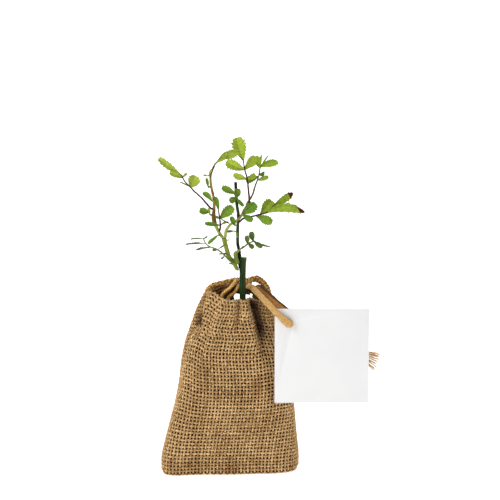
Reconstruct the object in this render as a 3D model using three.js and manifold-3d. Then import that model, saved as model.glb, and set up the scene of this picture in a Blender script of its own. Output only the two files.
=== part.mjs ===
// Rose sapling on its root ball, in a burlap drawstring pouch with a blank card tied to the drawstring.
// Millimetres, +Z up, front towards -Y. The origin is the middle of the pouch's flat underside.
import * as THREE from "three";
import { mergeVertices } from "three/addons/utils/BufferGeometryUtils.js";
import Module from "manifold-3d";

const wasm = await Module();
wasm.setup();

// ---- Driving dimensions ----
const GAP = 0.3; // between pieces that touch
const WALL = 1.4; // burlap and its folds
const FLOOR = 1.8; // top of the pouch's bottom cloth
const FLOOR_ROUND = 1; // how much narrower the inside is at the floor
const POUCH_SIDES = 60;
const SOIL_LEVEL = 105;
const SOIL_GAP = 0.9; // root ball to the burlap

// Pouch outline: height, left side, right side, half depth.
const POUCH_OUTLINE = [
  [0, -47.2, 46.6, 27.2],
  [2.5, -48.5, 48, 28.4],
  [10, -48.7, 48.2, 28.8],
  [24, -45.2, 46.6, 28],
  [45, -39.6, 44.8, 26.6],
  [60, -36.6, 42.2, 25.2],
  [75, -35.2, 39, 23.8],
  [90, -32.2, 36, 22.4],
  [100, -28.6, 33.8, 21.4],
  [110, -25.6, 31.4, 20.4],
  [118, -22, 29.2, 19.4],
  [124, -18.6, 28, 18.8],
];
const SQUARE_BASE = 4.4; // superellipse exponent at the foot
const ROUND_NECK = 2.1; // and at the neck
const POUCH_ROWS = [0, 0.9, 2.5, 7, 16, 30, 45, 60, 72, 82, 89, 95, 100, 105, 110, 114];
const NECK_PLEATS = { count: 9, depth: 1.5, from: 62, to: 118 };
// The drawstring pulls the front into one deep crease, a shallow valley beside it and a pocket at the left,
// with a soft ridge between them. Each runs from its low end to its high end, [height, x], and is as wide on
// its left and its right as its widths say.
const CREASES = [
  { low: [84, 22.5], high: [121, 12.5], depth: 4.6, widths: [3.4, 3.8] },
  { low: [100, 5], high: [122, 6.5], depth: 2, widths: [2.8, 2.8] },
  { low: [95, -25], high: [111, -21.8], depth: 4.6, widths: [3.6, 1.8] },
  { low: [64, -22], high: [112, -8], depth: -1.5, widths: [4, 4] },
];
const RIM = { middle: 122, right: -1.5, back: 3, twofold: -2, skew: 0.8 };
const SLIT = { left: 2, right: 15.4, low: 113, high: 119.6, front: 9, back: 27 }; // where the cord comes out

const HEM_RADIUS = 1.7;
const CORD = { width: 5, thickness: 2.2 };
const CARD = { width: 64.5, height: 65.5, thickness: 0.6, left: 30.5, top: 116, front: -27, hole: 3.5 };
const CARD_HOLE = [40.7, 105.9]; // x and height of its punched hole

const LEAF_THICKNESS = 0.35;
const LEAF_FOOT = { width: 0.5, sunk: 0.25 }; // narrowest blade, and how far its root goes into the stalk
const STALK_RADIUS = 0.5;
const STALK_TIP = 0.3;

// ---- Shared shapes ----
const V = (p) => new THREE.Vector3(...p);
const lerp = THREE.MathUtils.lerp;
const rad = THREE.MathUtils.degToRad;
const smooth = (value, low, high) => THREE.MathUtils.smoothstep(value, low, high);

// A small seeded generator, the same on every run: numbers from -1 to 1.
function seeded(seed) {
  let state = seed;
  return () => {
    state = (state * 16807) % 2147483647;
    return (state / 2147483647) * 2 - 1;
  };
}

function closed(geometry) {
  const bare = geometry.clone();
  bare.deleteAttribute("normal");
  bare.deleteAttribute("uv");
  return mergeVertices(bare, 1e-4);
}

function toSolid(geometry) {
  const merged = closed(geometry);
  return new wasm.Manifold(
    new wasm.Mesh({
      numProp: 3,
      vertProperties: new Float32Array(merged.attributes.position.array),
      triVerts: new Uint32Array(merged.index.array),
    }),
  );
}

function toGeometry(solid) {
  const mesh = solid.getMesh();
  const geometry = new THREE.BufferGeometry();
  geometry.setAttribute("position", new THREE.BufferAttribute(new Float32Array(mesh.vertProperties), 3));
  geometry.setIndex([...mesh.triVerts]);
  geometry.computeVertexNormals();
  return geometry;
}

const fuse = (geometries) => toGeometry(geometries.map(toSolid).reduce((all, next) => all.add(next)));

// Of the three axes, the one that a curve runs least along.
function sidewaysOf(curve) {
  const axes = [[1, 0, 0], [0, 1, 0], [0, 0, 1]].map(V);
  const shares = [0, 0.25, 0.5, 0.75, 1];
  const runs = (axis) => Math.max(...shares.map((t) => Math.abs(curve.getTangentAt(t).dot(axis))));
  return axes.reduce((best, axis) => (runs(axis) < runs(best) ? axis : best));
}

// A capped cylinder bent along a curve. section(t) gives its half width along "sideways" and its half
// thickness square to that.
function bentRod(curve, sides, steps, section, sideways = sidewaysOf(curve)) {
  const rod = new THREE.CylinderGeometry(1, 1, 1, sides, steps);
  const position = rod.attributes.position;
  const rings = [];
  for (let i = 0; i <= steps; i++) {
    const t = i / steps;
    const along = curve.getTangentAt(t);
    const across = sideways.clone().addScaledVector(along, -sideways.dot(along)).normalize();
    const towards = new THREE.Vector3().crossVectors(across, along);
    rings.push({ at: curve.getPointAt(t), across, towards, half: section(t) });
  }
  for (let i = 0; i < position.count; i++) {
    const ring = rings[Math.round((position.getY(i) + 0.5) * steps)];
    const p = ring.at
      .clone()
      .addScaledVector(ring.across, position.getX(i) * ring.half[0])
      .addScaledVector(ring.towards, position.getZ(i) * ring.half[1]);
    position.setXYZ(i, p.x, p.y, p.z);
  }
  return outward(rod);
}

// Turns the faces round where a bend has left them pointing inwards.
function outward(geometry) {
  const merged = closed(geometry);
  const p = merged.attributes.position;
  const index = merged.index.array;
  const [a, b, c] = [new THREE.Vector3(), new THREE.Vector3(), new THREE.Vector3()];
  let volume = 0;
  for (let i = 0; i < index.length; i += 3) {
    a.fromBufferAttribute(p, index[i]);
    b.fromBufferAttribute(p, index[i + 1]);
    c.fromBufferAttribute(p, index[i + 2]);
    volume += a.dot(b.cross(c));
  }
  if (volume < 0) {
    for (let i = 0; i < index.length; i += 3) [index[i + 1], index[i + 2]] = [index[i + 2], index[i + 1]];
  }
  return merged;
}

// A limb: a round rod through its points whose radius goes from its foot to its tip.
function makeLimb(points, footRadius, tipRadius, { sides = 8, steps = 12, bulge = () => 0 } = {}) {
  const curve = new THREE.CatmullRomCurve3(points.map(V), false, "centripetal");
  const radiusAt = (t) => lerp(footRadius, tipRadius, t) + bulge(t);
  const geometry = bentRod(curve, sides, steps, (t) => [radiusAt(t), radiusAt(t)]);
  return { curve, radiusAt, geometry };
}

// Where a stalk starts, just clear of the limb's bark, on the side that faces the point "towards".
function seat(limb, share, towards, reach = 1) {
  const at = limb.curve.getPointAt(share);
  const along = limb.curve.getTangentAt(share);
  if (share === 1) return [at.clone().addScaledVector(along, GAP), at.clone().addScaledVector(along, reach)];
  const out = V(towards).sub(at);
  out.addScaledVector(along, -out.dot(along)).normalize();
  const clear = limb.radiusAt(share) + GAP;
  return [at.clone().addScaledVector(out, clear), at.clone().addScaledVector(out, clear + reach)];
}

// ---- Pouch and root ball ----
function outlineAt(height) {
  const last = POUCH_OUTLINE.length - 1;
  const upper = Math.min(Math.max(POUCH_OUTLINE.findIndex((row) => row[0] > height), 1), last);
  const top = height >= POUCH_OUTLINE[last][0] ? last : upper;
  const [low, high] = [POUCH_OUTLINE[top - 1], POUCH_OUTLINE[top]];
  const t = Math.min((height - low[0]) / (high[0] - low[0]), 1);
  const [left, right, depth] = [1, 2, 3].map((k) => lerp(low[k], high[k], t));
  return { middle: (left + right) / 2, half: (right - left) / 2, depth };
}

// A point of the pouch's outer face at an angle round it (0 is +X, 90 is the back), moved inwards.
function pouchPoint(angle, height, inwards = 0) {
  const { middle, half, depth } = outlineAt(height);
  const power = 2 / lerp(SQUARE_BASE, ROUND_NECK, smooth(height, 20, 112));
  const bend = (value) => Math.sign(value) * Math.abs(value) ** power;
  const x = half * bend(Math.cos(angle));
  const y = depth * bend(Math.sin(angle));
  const pleat = NECK_PLEATS.depth * smooth(height, NECK_PLEATS.from, NECK_PLEATS.to);
  let sink = inwards + pleat * (0.5 + 0.5 * Math.cos(NECK_PLEATS.count * angle + 0.6));
  if (y < 0) {
    for (const crease of CREASES) {
      const t = (height - crease.low[0]) / (crease.high[0] - crease.low[0]);
      const aside = x + middle - lerp(crease.low[1], crease.high[1], t);
      const off = aside / crease.widths[aside < 0 ? 0 : 1];
      const fade = smooth(t, -0.15, 0.35) * (1 - smooth(t, 0.75, 1.15));
      sink += crease.depth * fade * Math.exp(-off * off);
    }
  }
  const reach = Math.hypot(x, y);
  const scale = 1 - sink / reach;
  return new THREE.Vector3(middle + x * scale, y * scale, height);
}

function rimHeight(angle) {
  const once = RIM.right * Math.cos(angle) + RIM.back * Math.sin(angle);
  return RIM.middle + once + RIM.twofold * Math.cos(2 * angle) + RIM.skew * Math.sin(2 * angle);
}

// A lathe whose rings are replaced by place(row, angle): closed at its two ends on its own axis.
function shapedLathe(rows, place) {
  const profile = rows.map((row, i) => new THREE.Vector2(i === 0 || i === rows.length - 1 ? 0 : 1, i));
  const lathe = new THREE.LatheGeometry(profile, POUCH_SIDES);
  const position = lathe.attributes.position;
  for (let side = 0; side <= POUCH_SIDES; side++) {
    const angle = ((side % POUCH_SIDES) / POUCH_SIDES) * Math.PI * 2;
    rows.forEach((row, i) => {
      const p = place(row, angle);
      position.setXYZ(side * rows.length + i, p.x, p.y, p.z);
    });
  }
  return outward(lathe);
}

function makePouch() {
  const rows = [
    { centre: 0 },
    ...POUCH_ROWS.map((height) => ({ height, sink: 0 })),
    { rim: 1, sink: 0 },
    { rim: 1, sink: WALL },
    ...POUCH_ROWS.filter((height) => height > FLOOR)
      .reverse()
      .map((height) => ({ height, sink: WALL })),
    { height: FLOOR, sink: WALL + FLOOR_ROUND },
    { centre: FLOOR },
  ];
  const shell = shapedLathe(rows, (row, angle) => {
    if (row.centre !== undefined) return new THREE.Vector3(0, 0, row.centre);
    return pouchPoint(angle, row.rim ? rimHeight(angle) : row.height, row.sink);
  });
  const slit = new THREE.BoxGeometry(SLIT.right - SLIT.left, SLIT.back - SLIT.front, SLIT.high - SLIT.low);
  slit.translate((SLIT.left + SLIT.right) / 2, (SLIT.front + SLIT.back) / 2, (SLIT.low + SLIT.high) / 2);
  return toGeometry(toSolid(shell).subtract(toSolid(slit)));
}

function makeRootBall() {
  const inset = WALL + SOIL_GAP;
  const foot = FLOOR + GAP;
  const rows = [
    { centre: foot },
    { height: foot, sink: inset + FLOOR_ROUND },
    ...POUCH_ROWS.filter((height) => height > foot && height < SOIL_LEVEL - 3).map((height) => ({
      height,
      sink: inset,
    })),
    { height: SOIL_LEVEL - 2.5, sink: inset },
    { height: SOIL_LEVEL, sink: inset + 2.5 },
    { centre: SOIL_LEVEL },
  ];
  return shapedLathe(rows, (row, angle) => {
    if (row.centre !== undefined) return new THREE.Vector3(3, 0, row.centre);
    return pouchPoint(angle, row.height, row.sink);
  });
}

// ---- Stem and shoots ----
const TRUNK_POINTS = [
  [8.5, 0, SOIL_LEVEL + GAP],
  [8.5, 0, 118],
  [8.5, 0, 132],
  [8.6, 0, 140.5],
  [9.1, 0, 148],
];
const COLLAR_POINTS = [[8.2, 0, 136.5], [7, -0.2, 141.5], [6.3, -0.2, 147.5], [6, 0, 152.6]];
const LEADER_POINTS = [
  [5.95, 0, 152.7 + GAP],
  [5.1, 0, 157],
  [5, 0.5, 163.5],
  [5.1, 1, 170],
  [5.6, 1, 177],
  [4.6, 1.5, 184],
  [4, 2, 191.5],
  [3.6, 2, 200.5],
];
const MAIN_POINTS = [
  [1.6, -1, 145.6],
  [-1, -2, 148.6],
  [-2.2, -3, 152.5],
  [-3.6, -4, 158],
  [-4.5, -5, 162],
];
const LEFT_POINTS = [
  [-5.5, -5, 162.45],
  [-8, -4, 166],
  [-10, -2, 170],
  [-11.6, 0, 175],
  [-11.4, 2, 184],
  [-12, 3.5, 190.5],
  [-13.4, 5, 197],
  [-14, 6.5, 204],
  [-13, 8, 208],
  [-11.5, 9, 211.5],
];
const RIGHT_POINTS = [
  [-3.6, -5.4, 162.5],
  [-2.8, -6.5, 167.5],
  [0, -7.5, 171.5],
  [4, -8, 174],
  [7.4, -8, 177.5],
  [9.6, -7, 182],
  [12.5, -6, 186.2],
];

const bump = (centre, width, height) => (t) => height * Math.exp(-(((t - centre) / width) ** 2));

const trunk = makeLimb(TRUNK_POINTS, 2.15, 2.05, { sides: 14, steps: 8, bulge: bump(0, 0.06, 0.7) });
const collar = makeLimb(COLLAR_POINTS, 1.2, 1.15, { sides: 10, steps: 6, bulge: bump(0.55, 0.3, 0.35) });
const leader = makeLimb(LEADER_POINTS, 1.1, 0.85, { sides: 7, steps: 20, bulge: bump(0.51, 0.02, 0.25) });
const mainFoot = seat(collar, 0.25, MAIN_POINTS[0], 1);
const main = makeLimb([...mainFoot.map((p) => p.toArray()), ...MAIN_POINTS], 1.15, 1.5, { steps: 14 });
const left = makeLimb(LEFT_POINTS, 0.85, 0.6, { sides: 7, steps: 24, bulge: bump(0.29, 0.05, 0.6) });
const right = makeLimb(RIGHT_POINTS, 0.82, 0.7, { steps: 18 });

// Short dead spurs left on the main shoot: share along it, bearing, pitch, length.
const MAIN_SPURS = [
  [0.16, 160, 10, 3.6],
  [0.55, 180, 25, 5.6],
  [0.93, 12, 40, 3],
];

function heading(bearing, pitch) {
  const [b, p] = [rad(bearing), rad(pitch)];
  return new THREE.Vector3(Math.cos(b) * Math.cos(p), -Math.sin(p), Math.sin(b) * Math.cos(p));
}

function spur(limb, [share, bearing, pitch, length]) {
  const foot = limb.curve.getPointAt(share);
  const tip = foot.clone().addScaledVector(heading(bearing, pitch), limb.radiusAt(share) + length);
  return bentRod(new THREE.LineCurve3(foot, tip), 6, 2, (t) => [lerp(0.7, 0.35, t), lerp(0.7, 0.35, t)]);
}

// ---- Leaves ----
// One leaflet: a thin box bent to an obovate blade, folded along its midrib and curled towards its tip.
// bearing is its direction seen from the front (0 is +X, 90 is up), pitch its lean towards the front,
// roll the turn of its face away from the front, and bend how far it turns clockwise from root to tip.
const BLADE_STATIONS = [0, 0.25, 0.55, 0.84, 1];
const BLADE_WIDTHS = [0.1, 0.54, 1, 0.86, 0.32];

function leaflet(foot, [, bearing, length, width, pitch, roll, bend = 0], random) {
  const rows = BLADE_STATIONS.length - 1;
  const blade = new THREE.BoxGeometry(1, 1, 1, 2, rows, 1);
  const along = heading(bearing, pitch);
  const clockwise = new THREE.Vector3().crossVectors(along, new THREE.Vector3(0, -1, 0)).normalize();
  const across = clockwise.clone().applyAxisAngle(along, rad(roll + 6 * random()));
  const face = new THREE.Vector3().crossVectors(across, along);
  const fold = 0.24 + 0.06 * random();
  const curl = 0.1 + 0.05 * random();
  const position = blade.attributes.position;
  for (let i = 0; i < position.count; i++) {
    const row = Math.round((position.getY(i) + 0.5) * rows);
    const t = BLADE_STATIONS[row];
    const side = position.getX(i) * Math.max(width * BLADE_WIDTHS[row], LEAF_FOOT.width);
    const lift = fold * Math.abs(side) - curl * length * t * t + position.getZ(i) * LEAF_THICKNESS;
    const turned = rad(bend) * t;
    const p = foot
      .clone()
      .addScaledVector(along, lerp(-LEAF_FOOT.sunk, length, t) * (1 - turned ** 2 / 6))
      .addScaledVector(clockwise, (length * t * turned) / 2)
      .addScaledVector(across, side)
      .addScaledVector(face, lift);
    position.setXYZ(i, p.x, p.y, p.z);
  }
  return outward(blade);
}

// A compound leaf: its stalk starts clear of the limb it grows from and runs through "stalk", and its
// leaflets stand on it at their shares: [share, bearing, length, width, pitch, roll, bend].
function compoundLeaf({ limb, share, stalk, leaflets, radius = STALK_RADIUS }, seed) {
  const random = seeded(seed * 7919 + 13);
  const points = [...seat(limb, share, stalk[0]), ...stalk.map(V)];
  const curve = new THREE.CatmullRomCurve3(points, false, "centripetal");
  const steps = Math.max(5, Math.round(curve.getLength() / 3.2));
  const parts = [bentRod(curve, 4, steps, (t) => [lerp(radius, STALK_TIP, t), lerp(radius, STALK_TIP, t)])];
  for (const item of leaflets) parts.push(leaflet(curve.getPointAt(item[0]), item, random));
  return fuse(parts);
}

const LEAVES = {
  leaf_top: {
    limb: right,
    share: 1,
    stalk: [[12.6, -9, 195.5], [11.6, -12, 204], [10, -14, 210.5], [9, -16, 217]],
    leaflets: [
      [0.56, 164, 9.6, 5, 8, -22],
      [0.56, 20, 6.8, 4.4, -18, 20],
      [0.77, 152, 13.8, 7.4, 12, -10],
      [0.78, 48, 11.4, 8.4, -10, 8],
      [0.985, 103, 15.8, 10.2, 4, 6],
    ],
  },
  leaf_top_right: {
    limb: right,
    share: 0.955,
    stalk: [[15.2, -1, 191.5], [17.2, 3, 197.5], [19.6, 8, 204], [21, 12, 211]],
    leaflets: [
      [0.66, 18, 8.4, 4.2, 14, 20],
      [0.76, 192, 8.2, 4.8, -14, 16],
      [0.8, 10, 4.6, 3, -30, 20],
      [0.985, 26, 13, 6.8, 12, -8, 18],
      [0.96, 110, 9, 6.6, 14, 12],
      [0.985, 80, 6.4, 1.3, -20, 0],
      [0.985, 50, 7.2, 1.3, 0, 0],
    ],
  },
  leaf_far_left: {
    limb: left,
    share: 0.41,
    stalk: [[-20, -4, 190], [-25, -8, 195], [-27.5, -10, 198], [-31, -13, 202], [-33, -15, 206.4]],
    leaflets: [
      [0.66, 78, 7.8, 11, 12, 10],
      [0.67, 150, 8.4, 1.8, -8, 60],
      [0.93, 154, 10, 4.6, 22, 24],
      [0.95, 42, 4, 2.4, 0, 20],
      [0.985, 148, 19.8, 5.2, -6, 26, 26],
    ],
  },
  shoot_tip: {
    limb: left,
    share: 1,
    stalk: [[-8.2, 11, 215], [-4, 12, 218]],
    leaflets: [
      [0.2, 38, 9.6, 4.8, -4, -20],
      [0.62, 32, 13.2, 8, 6, 12, 16],
      [0.45, 46, 8.4, 5, 16, 24],
    ],
  },
  leaf_mid_left: {
    limb: left,
    share: 0.33,
    stalk: [[-14.8, -0.6, 179.6]],
    leaflets: [
      [0.96, 166, 7, 6, 12, 12],
      [0.5, 100, 4.6, 2.4, 20, 10],
    ],
  },
  leaf_up_left: {
    limb: left,
    share: 0.53,
    stalk: [[-14.2, 6, 187.5]],
    leaflets: [[0.9, 118, 9.6, 5, -16, -14, -34]],
  },
  leaf_stem_upper: {
    limb: left,
    share: 0.71,
    stalk: [[-15.5, 3.3, 196.4]],
    leaflets: [[0.9, 100, 6.8, 2.8, 5, 24]],
  },
  stipules_upper: {
    limb: left,
    share: 0.85,
    stalk: [[-15.6, 3.4, 204.6]],
    leaflets: [
      [0.9, 168, 3.6, 1.6, 5, 10],
      [0.6, 66, 5.6, 1.7, 24, 10],
    ],
  },
  leaf_centre_left: {
    limb: left,
    share: 0.09,
    stalk: [[-6.8, -8.6, 170.5], [-7.2, -12, 176.5], [-8, -15, 182.5]],
    leaflets: [
      [0.32, 170, 10.8, 3.8, 10, 22],
      [0.32, 50, 6.6, 2.6, 14, 30, 50],
      [0.62, 43, 12.2, 8.6, 6, -6],
      [0.62, 150, 3.4, 2.2, 10, 20],
      [0.64, -29, 7.4, 1, 10, 0],
      [0.985, 100, 9.8, 4.8, -12, 42],
    ],
  },
  leaf_narrow_left: {
    limb: left,
    share: 0.045,
    stalk: [[-8.2, -6.4, 164.6]],
    leaflets: [[0.9, 218, 9.6, 3.8, 14, 44]],
  },
  leaf_lower_left: {
    limb: main,
    share: 0.3,
    stalk: [[-6.2, -9, 152.5], [-10, -14, 155.6], [-14.5, -19, 158], [-17, -22, 161], [-18, -24, 164]],
    leaflets: [
      [0.25, 222, 3.6, 1.6, 10, 0],
      [0.5, 182, 3.4, 2.6, 10, 20],
      [0.5, 40, 7.6, 3, -14, 62, 30],
      [0.68, 184, 10.8, 4, 8, 74],
      [0.85, 176, 13.8, 4, 6, 76],
      [0.985, 176, 8.8, 3.4, 4, 76],
      [0.985, 32, 3.2, 1.6, 0, 20],
    ],
  },
  leaf_lower_right: {
    limb: main,
    share: 0.2,
    stalk: [[3.6, -4.4, 151], [6, -4.6, 153.4], [9.4, -3, 155.6], [13, 3, 157.6], [17, 9, 158.4]],
    radius: 0.6,
    leaflets: [
      [0.42, 40, 3.6, 1.8, 10, 0],
      [0.7, 97, 6, 4.2, 6, 10],
      [0.72, -38, 5, 4.2, 10, -10],
      [0.94, 104, 7, 5.2, -6, -8],
      [0.96, -34, 7.4, 4.8, 14, 14],
      [0.985, -26, 12.4, 3.6, -8, 60],
    ],
  },
  leaf_leader_top: {
    limb: leader,
    share: 0.76,
    stalk: [[3.8, -2.8, 193]],
    leaflets: [
      [0.9, 155, 10.8, 5.8, 6, 10],
      [0.9, 74, 7.6, 6, 12, 18],
      [0.5, 204, 6, 5.6, 20, -8],
      [0.3, -48, 8, 3.6, 24, 16],
    ],
  },
  leaf_centre: {
    limb: right,
    share: 0.66,
    stalk: [[8.4, -12, 178.6], [9.4, -15, 179.8]],
    leaflets: [
      [0.95, 44, 11, 8.4, 12, -10],
      [0.6, -30, 7.8, 5.8, 10, 12],
    ],
  },
  leaf_fork_right: {
    limb: right,
    share: 0.43,
    stalk: [[3.8, -11.4, 171.2]],
    leaflets: [[0.9, 116, 7, 4.4, 10, 16]],
  },
  leaf_right: {
    limb: right,
    share: 0.55,
    stalk: [[8.8, -9.6, 176], [13, -10, 177], [19, -12.4, 178.8], [26, -13.4, 181], [30, -12, 185.6]],
    leaflets: [
      [0.56, -30, 11, 7.2, 8, 8],
      [0.6, 57, 12.8, 8.4, -22, -12],
      [0.8, 23, 26.4, 8.4, 10, -6, 34],
      [0.985, 30, 15, 6.4, -4, 14],
    ],
  },
  leaf_mid_twig: {
    limb: leader,
    share: 0.2,
    stalk: [[4.2, -4, 166], [2.6, -7, 167.2]],
    leaflets: [[0.95, 180, 5.8, 3.2, 30, 66]],
  },
};

// ---- Drawstring, hem and card ----
function makeHem() {
  const points = [];
  for (let degrees = 160; degrees >= 72; degrees -= 16) {
    const angle = rad(degrees);
    const rim = pouchPoint(angle, rimHeight(angle), WALL / 2);
    points.push(rim.setZ(rim.z + GAP + HEM_RADIUS + 0.35));
  }
  const loop = [[17, 15.5, 131.6], [21.6, 12, 130], [25.2, 7, 126.4], [26.9, 3.4, 121.4]].map(V);
  const curve = new THREE.CatmullRomCurve3([...points, ...loop], false, "centripetal");
  return bentRod(curve, 7, 22, (t) => [HEM_RADIUS * lerp(1, 0.9, t), HEM_RADIUS]);
}

// The drawstring's front end goes down over the card and into its hole, the rear one runs behind the card.
const FRONT_TAIL = [
  [11.6, 14.4, 125.6],
  [13.2, 7.4, 126.2],
  [16.6, 0, 125],
  [20.8, -11, 122.4],
  [26, -21.5, 118.6],
  [30, -28.9, 115.4],
  [35.8, -29.6, 110.2],
  [39.3, -29.7, 107],
  [CARD_HOLE[0], -27, CARD_HOLE[1]],
  [CARD_HOLE[0], -24.6, CARD_HOLE[1]],
];
const REAR_TAIL = [
  [17.4, 12.6, 124.6],
  [20.4, 6.4, 124.8],
  [25.4, -2.4, 122.2],
  [32.8, -13.4, 116.8],
  [41.4, -21.2, 111.4],
  [54, -24.4, 103.8],
  [75.5, -24.9, 91.6],
  [92.6, -24.9, 80.9],
];
const CORD_SIDEWAYS = V([1, 0, 1]); // the flat cord's width lies square to its run, seen from the front
const TASSEL = [[92.9, -24.9, 80.7], [94.6, -24.9, 79.65], [98.6, -24.9, 79], [103.5, -24.9, 79]];

function makeCord(points, { endScale = 1, steps }) {
  const curve = new THREE.CatmullRomCurve3(points.map(V), false, "centripetal");
  const section = (t) => {
    const scale = lerp(1, endScale, smooth(t, 0.82, 0.95));
    return [(CORD.width / 2) * scale, (CORD.thickness / 2) * (0.5 + 0.5 * scale)];
  };
  return bentRod(curve, 8, steps, section, CORD_SIDEWAYS);
}

function makeTassel() {
  const curve = new THREE.CatmullRomCurve3(TASSEL.map(V), false, "centripetal");
  return bentRod(curve, 10, 5, (t) => [lerp(2.4, 6.8, smooth(t, 0, 0.8)), lerp(1.1, 1.6, t)], V([0, 0, 1]));
}

function makeCard() {
  const outline = new THREE.Shape();
  const { width, height, left, top } = CARD;
  outline.moveTo(left, top);
  outline.lineTo(left, top - height);
  outline.lineTo(left + width, top - height);
  outline.lineTo(left + width, top);
  outline.closePath();
  outline.holes.push(new THREE.Path().absarc(...CARD_HOLE, CARD.hole, 0, Math.PI * 2, true));
  const shape = { depth: CARD.thickness, bevelEnabled: false, curveSegments: 12 };
  const card = new THREE.ExtrudeGeometry(outline, shape);
  card.rotateX(Math.PI / 2);
  return card.translate(0, CARD.front + CARD.thickness, 0);
}

// ---- The sapling ----
const sapling = new THREE.Group();

function add(name, geometry, color, roughness = 0.8) {
  geometry.computeVertexNormals();
  const mesh = new THREE.Mesh(geometry, new THREE.MeshStandardMaterial({ color, roughness, metalness: 0 }));
  mesh.name = name;
  sapling.add(mesh);
}

add("pouch", makePouch(), 0xa88658, 0.95);
add("root_ball", makeRootBall(), 0x2e1f14, 1);
add("pouch_hem", makeHem(), 0xb08c58, 0.95);
add("cord_front", makeCord(FRONT_TAIL, { endScale: 0.75, steps: 26 }), 0xc9a065, 0.9);
add("cord_rear", makeCord(REAR_TAIL, { steps: 20 }), 0xc9a065, 0.9);
add("cord_tassel", makeTassel(), 0xdcb479, 0.95);
add("card", makeCard(), 0xefefef, 0.6);
add("trunk", fuse([trunk.geometry, collar.geometry]), 0x25331c, 0.6);
add("leader", leader.geometry, 0x2c3d1e, 0.6);
add("main_shoot", fuse([main.geometry, ...MAIN_SPURS.map((item) => spur(main, item))]), 0x9aa545, 0.55);
add("left_shoot", left.geometry, 0xa87a45, 0.55);
add("right_shoot", right.geometry, 0x8f9a48, 0.55);
Object.entries(LEAVES).forEach(([name, spec], i) => add(name, compoundLeaf(spec, i + 1), 0x6fa028, 0.5));

export default sapling;
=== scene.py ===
import math
import random

import bmesh
import bpy
import numpy as np
from bpy.props import FloatProperty, FloatVectorProperty, IntProperty, PointerProperty
from mathutils import Matrix, Vector, noise


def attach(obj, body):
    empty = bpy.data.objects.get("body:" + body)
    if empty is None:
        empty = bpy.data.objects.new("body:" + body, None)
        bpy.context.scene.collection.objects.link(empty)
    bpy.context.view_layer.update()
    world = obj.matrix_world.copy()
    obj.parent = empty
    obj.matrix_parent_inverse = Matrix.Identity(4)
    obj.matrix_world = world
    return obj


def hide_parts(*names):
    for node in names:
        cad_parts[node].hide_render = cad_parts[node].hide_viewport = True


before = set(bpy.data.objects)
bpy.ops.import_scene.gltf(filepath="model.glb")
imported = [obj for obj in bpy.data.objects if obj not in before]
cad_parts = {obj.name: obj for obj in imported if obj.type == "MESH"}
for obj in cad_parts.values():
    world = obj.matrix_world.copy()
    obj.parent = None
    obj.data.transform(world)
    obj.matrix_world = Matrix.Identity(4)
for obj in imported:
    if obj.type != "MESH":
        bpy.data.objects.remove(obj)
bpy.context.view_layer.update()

bl_info = {
    "name": "Potted Rose Sapling",
    "version": (1, 0, 0),
    "blender": (4, 5, 0),
    "location": "View3D > Sidebar > Sapling",
    "description": "A rose sapling whose root ball sits in a burlap drawstring pouch with a blank card",
    "category": "Add Mesh",
}

MM = 0.001  # lengths below are millimetres, +Z up, front towards -Y, as in the frame

# ---- The pouch's form ----
WALL = 1.4
SOIL_LEVEL = 105
BALL_MIDDLE = 3  # x of the root ball's middle
POUCH_OUTLINE = np.array([  # height, left side, right side, half depth
    [0, -47.2, 46.6, 27.2], [2.5, -48.5, 48, 28.4], [10, -48.7, 48.2, 28.8], [24, -45.2, 46.6, 28],
    [45, -39.6, 44.8, 26.6], [60, -36.6, 42.2, 25.2], [75, -35.2, 39, 23.8], [90, -32.2, 36, 22.4],
    [100, -28.6, 33.8, 21.4], [110, -25.6, 31.4, 20.4], [118, -22, 29.2, 19.4], [124, -18.6, 28, 18.8],
])
SQUARE_BASE = 4.4  # superellipse exponent at the foot
ROUND_NECK = 2.1  # and at the neck
ROUNDING = (20, 112)  # the heights between which it goes from one to the other
CLOTH_FOOT = 0.9  # height of the cloth's lowest row
CLOTH_TOP = 130  # above the highest point of the rim
NECK_PLEATS = {"count": 9, "depth": 1.5, "low": 62, "high": 118}
SMALL_PLEATS = {"count": 22, "depth": 0.55, "low": 92, "high": 120}
PLEAT_PHASE = 0.6
GATHERS = {  # deep folds at the sides and the back, eased by a share of their depth towards the rim
    "count": 13, "depth": 5.2, "low": 40, "high": 112, "sharpness": 1.5,
    "ease": 0.7, "eased": (112, 121), "front_fade": (-0.7, -0.1),
}
CREASES = [  # low and high end as (height, x), depth, width at the left and the right, and the way it sinks
    {"low": (80, 23.5), "high": (124, 12.5), "depth": 8.5, "widths": (1.5, 5.4), "straight": True},
    {"low": (98, 5), "high": (126, 6.5), "depth": 5, "widths": (2.4, 2.2), "straight": True},
    {"low": (93, -24), "high": (111, -21.6), "depth": 7.5, "widths": (3.2, 1.3), "straight": False},
    {"low": (62, -22), "high": (116, -7), "depth": -2.2, "widths": (3, 3), "straight": False},
    {"low": (66, -15), "high": (116, -1), "depth": 1.5, "widths": (2.6, 2.6), "straight": True},
    {"low": (58, 8), "high": (100, -8), "depth": 1.3, "widths": (4, 4), "straight": False},
]
FOOT_BULGE = [(-46, 9), (-36, 5.5), (-28, 3), (-20, 1.9), (0, 1.6), (20, 0)]  # x, how far the front swells
BULGE_FADE = (80, 2)  # heights from which and to which it grows
RIM = {"middle": 122, "right": -1.5, "back": 3, "twofold": -2, "skew": 0.8}
RIM_SLACK = [  # how far the front of the rim rises or sags, at cosines of the angle
    (-1, 0.5), (-0.88, 3.4), (-0.72, 3), (-0.61, 1.3), (-0.5, -0.5), (-0.25, -1.9), (0, -1.7), (0.3, -0.5),
    (0.55, 1.5), (0.75, 1.3), (1, 0),
]
SLIT = {"left": 2, "right": 15.4, "low": 113, "high": 119.6}

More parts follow.
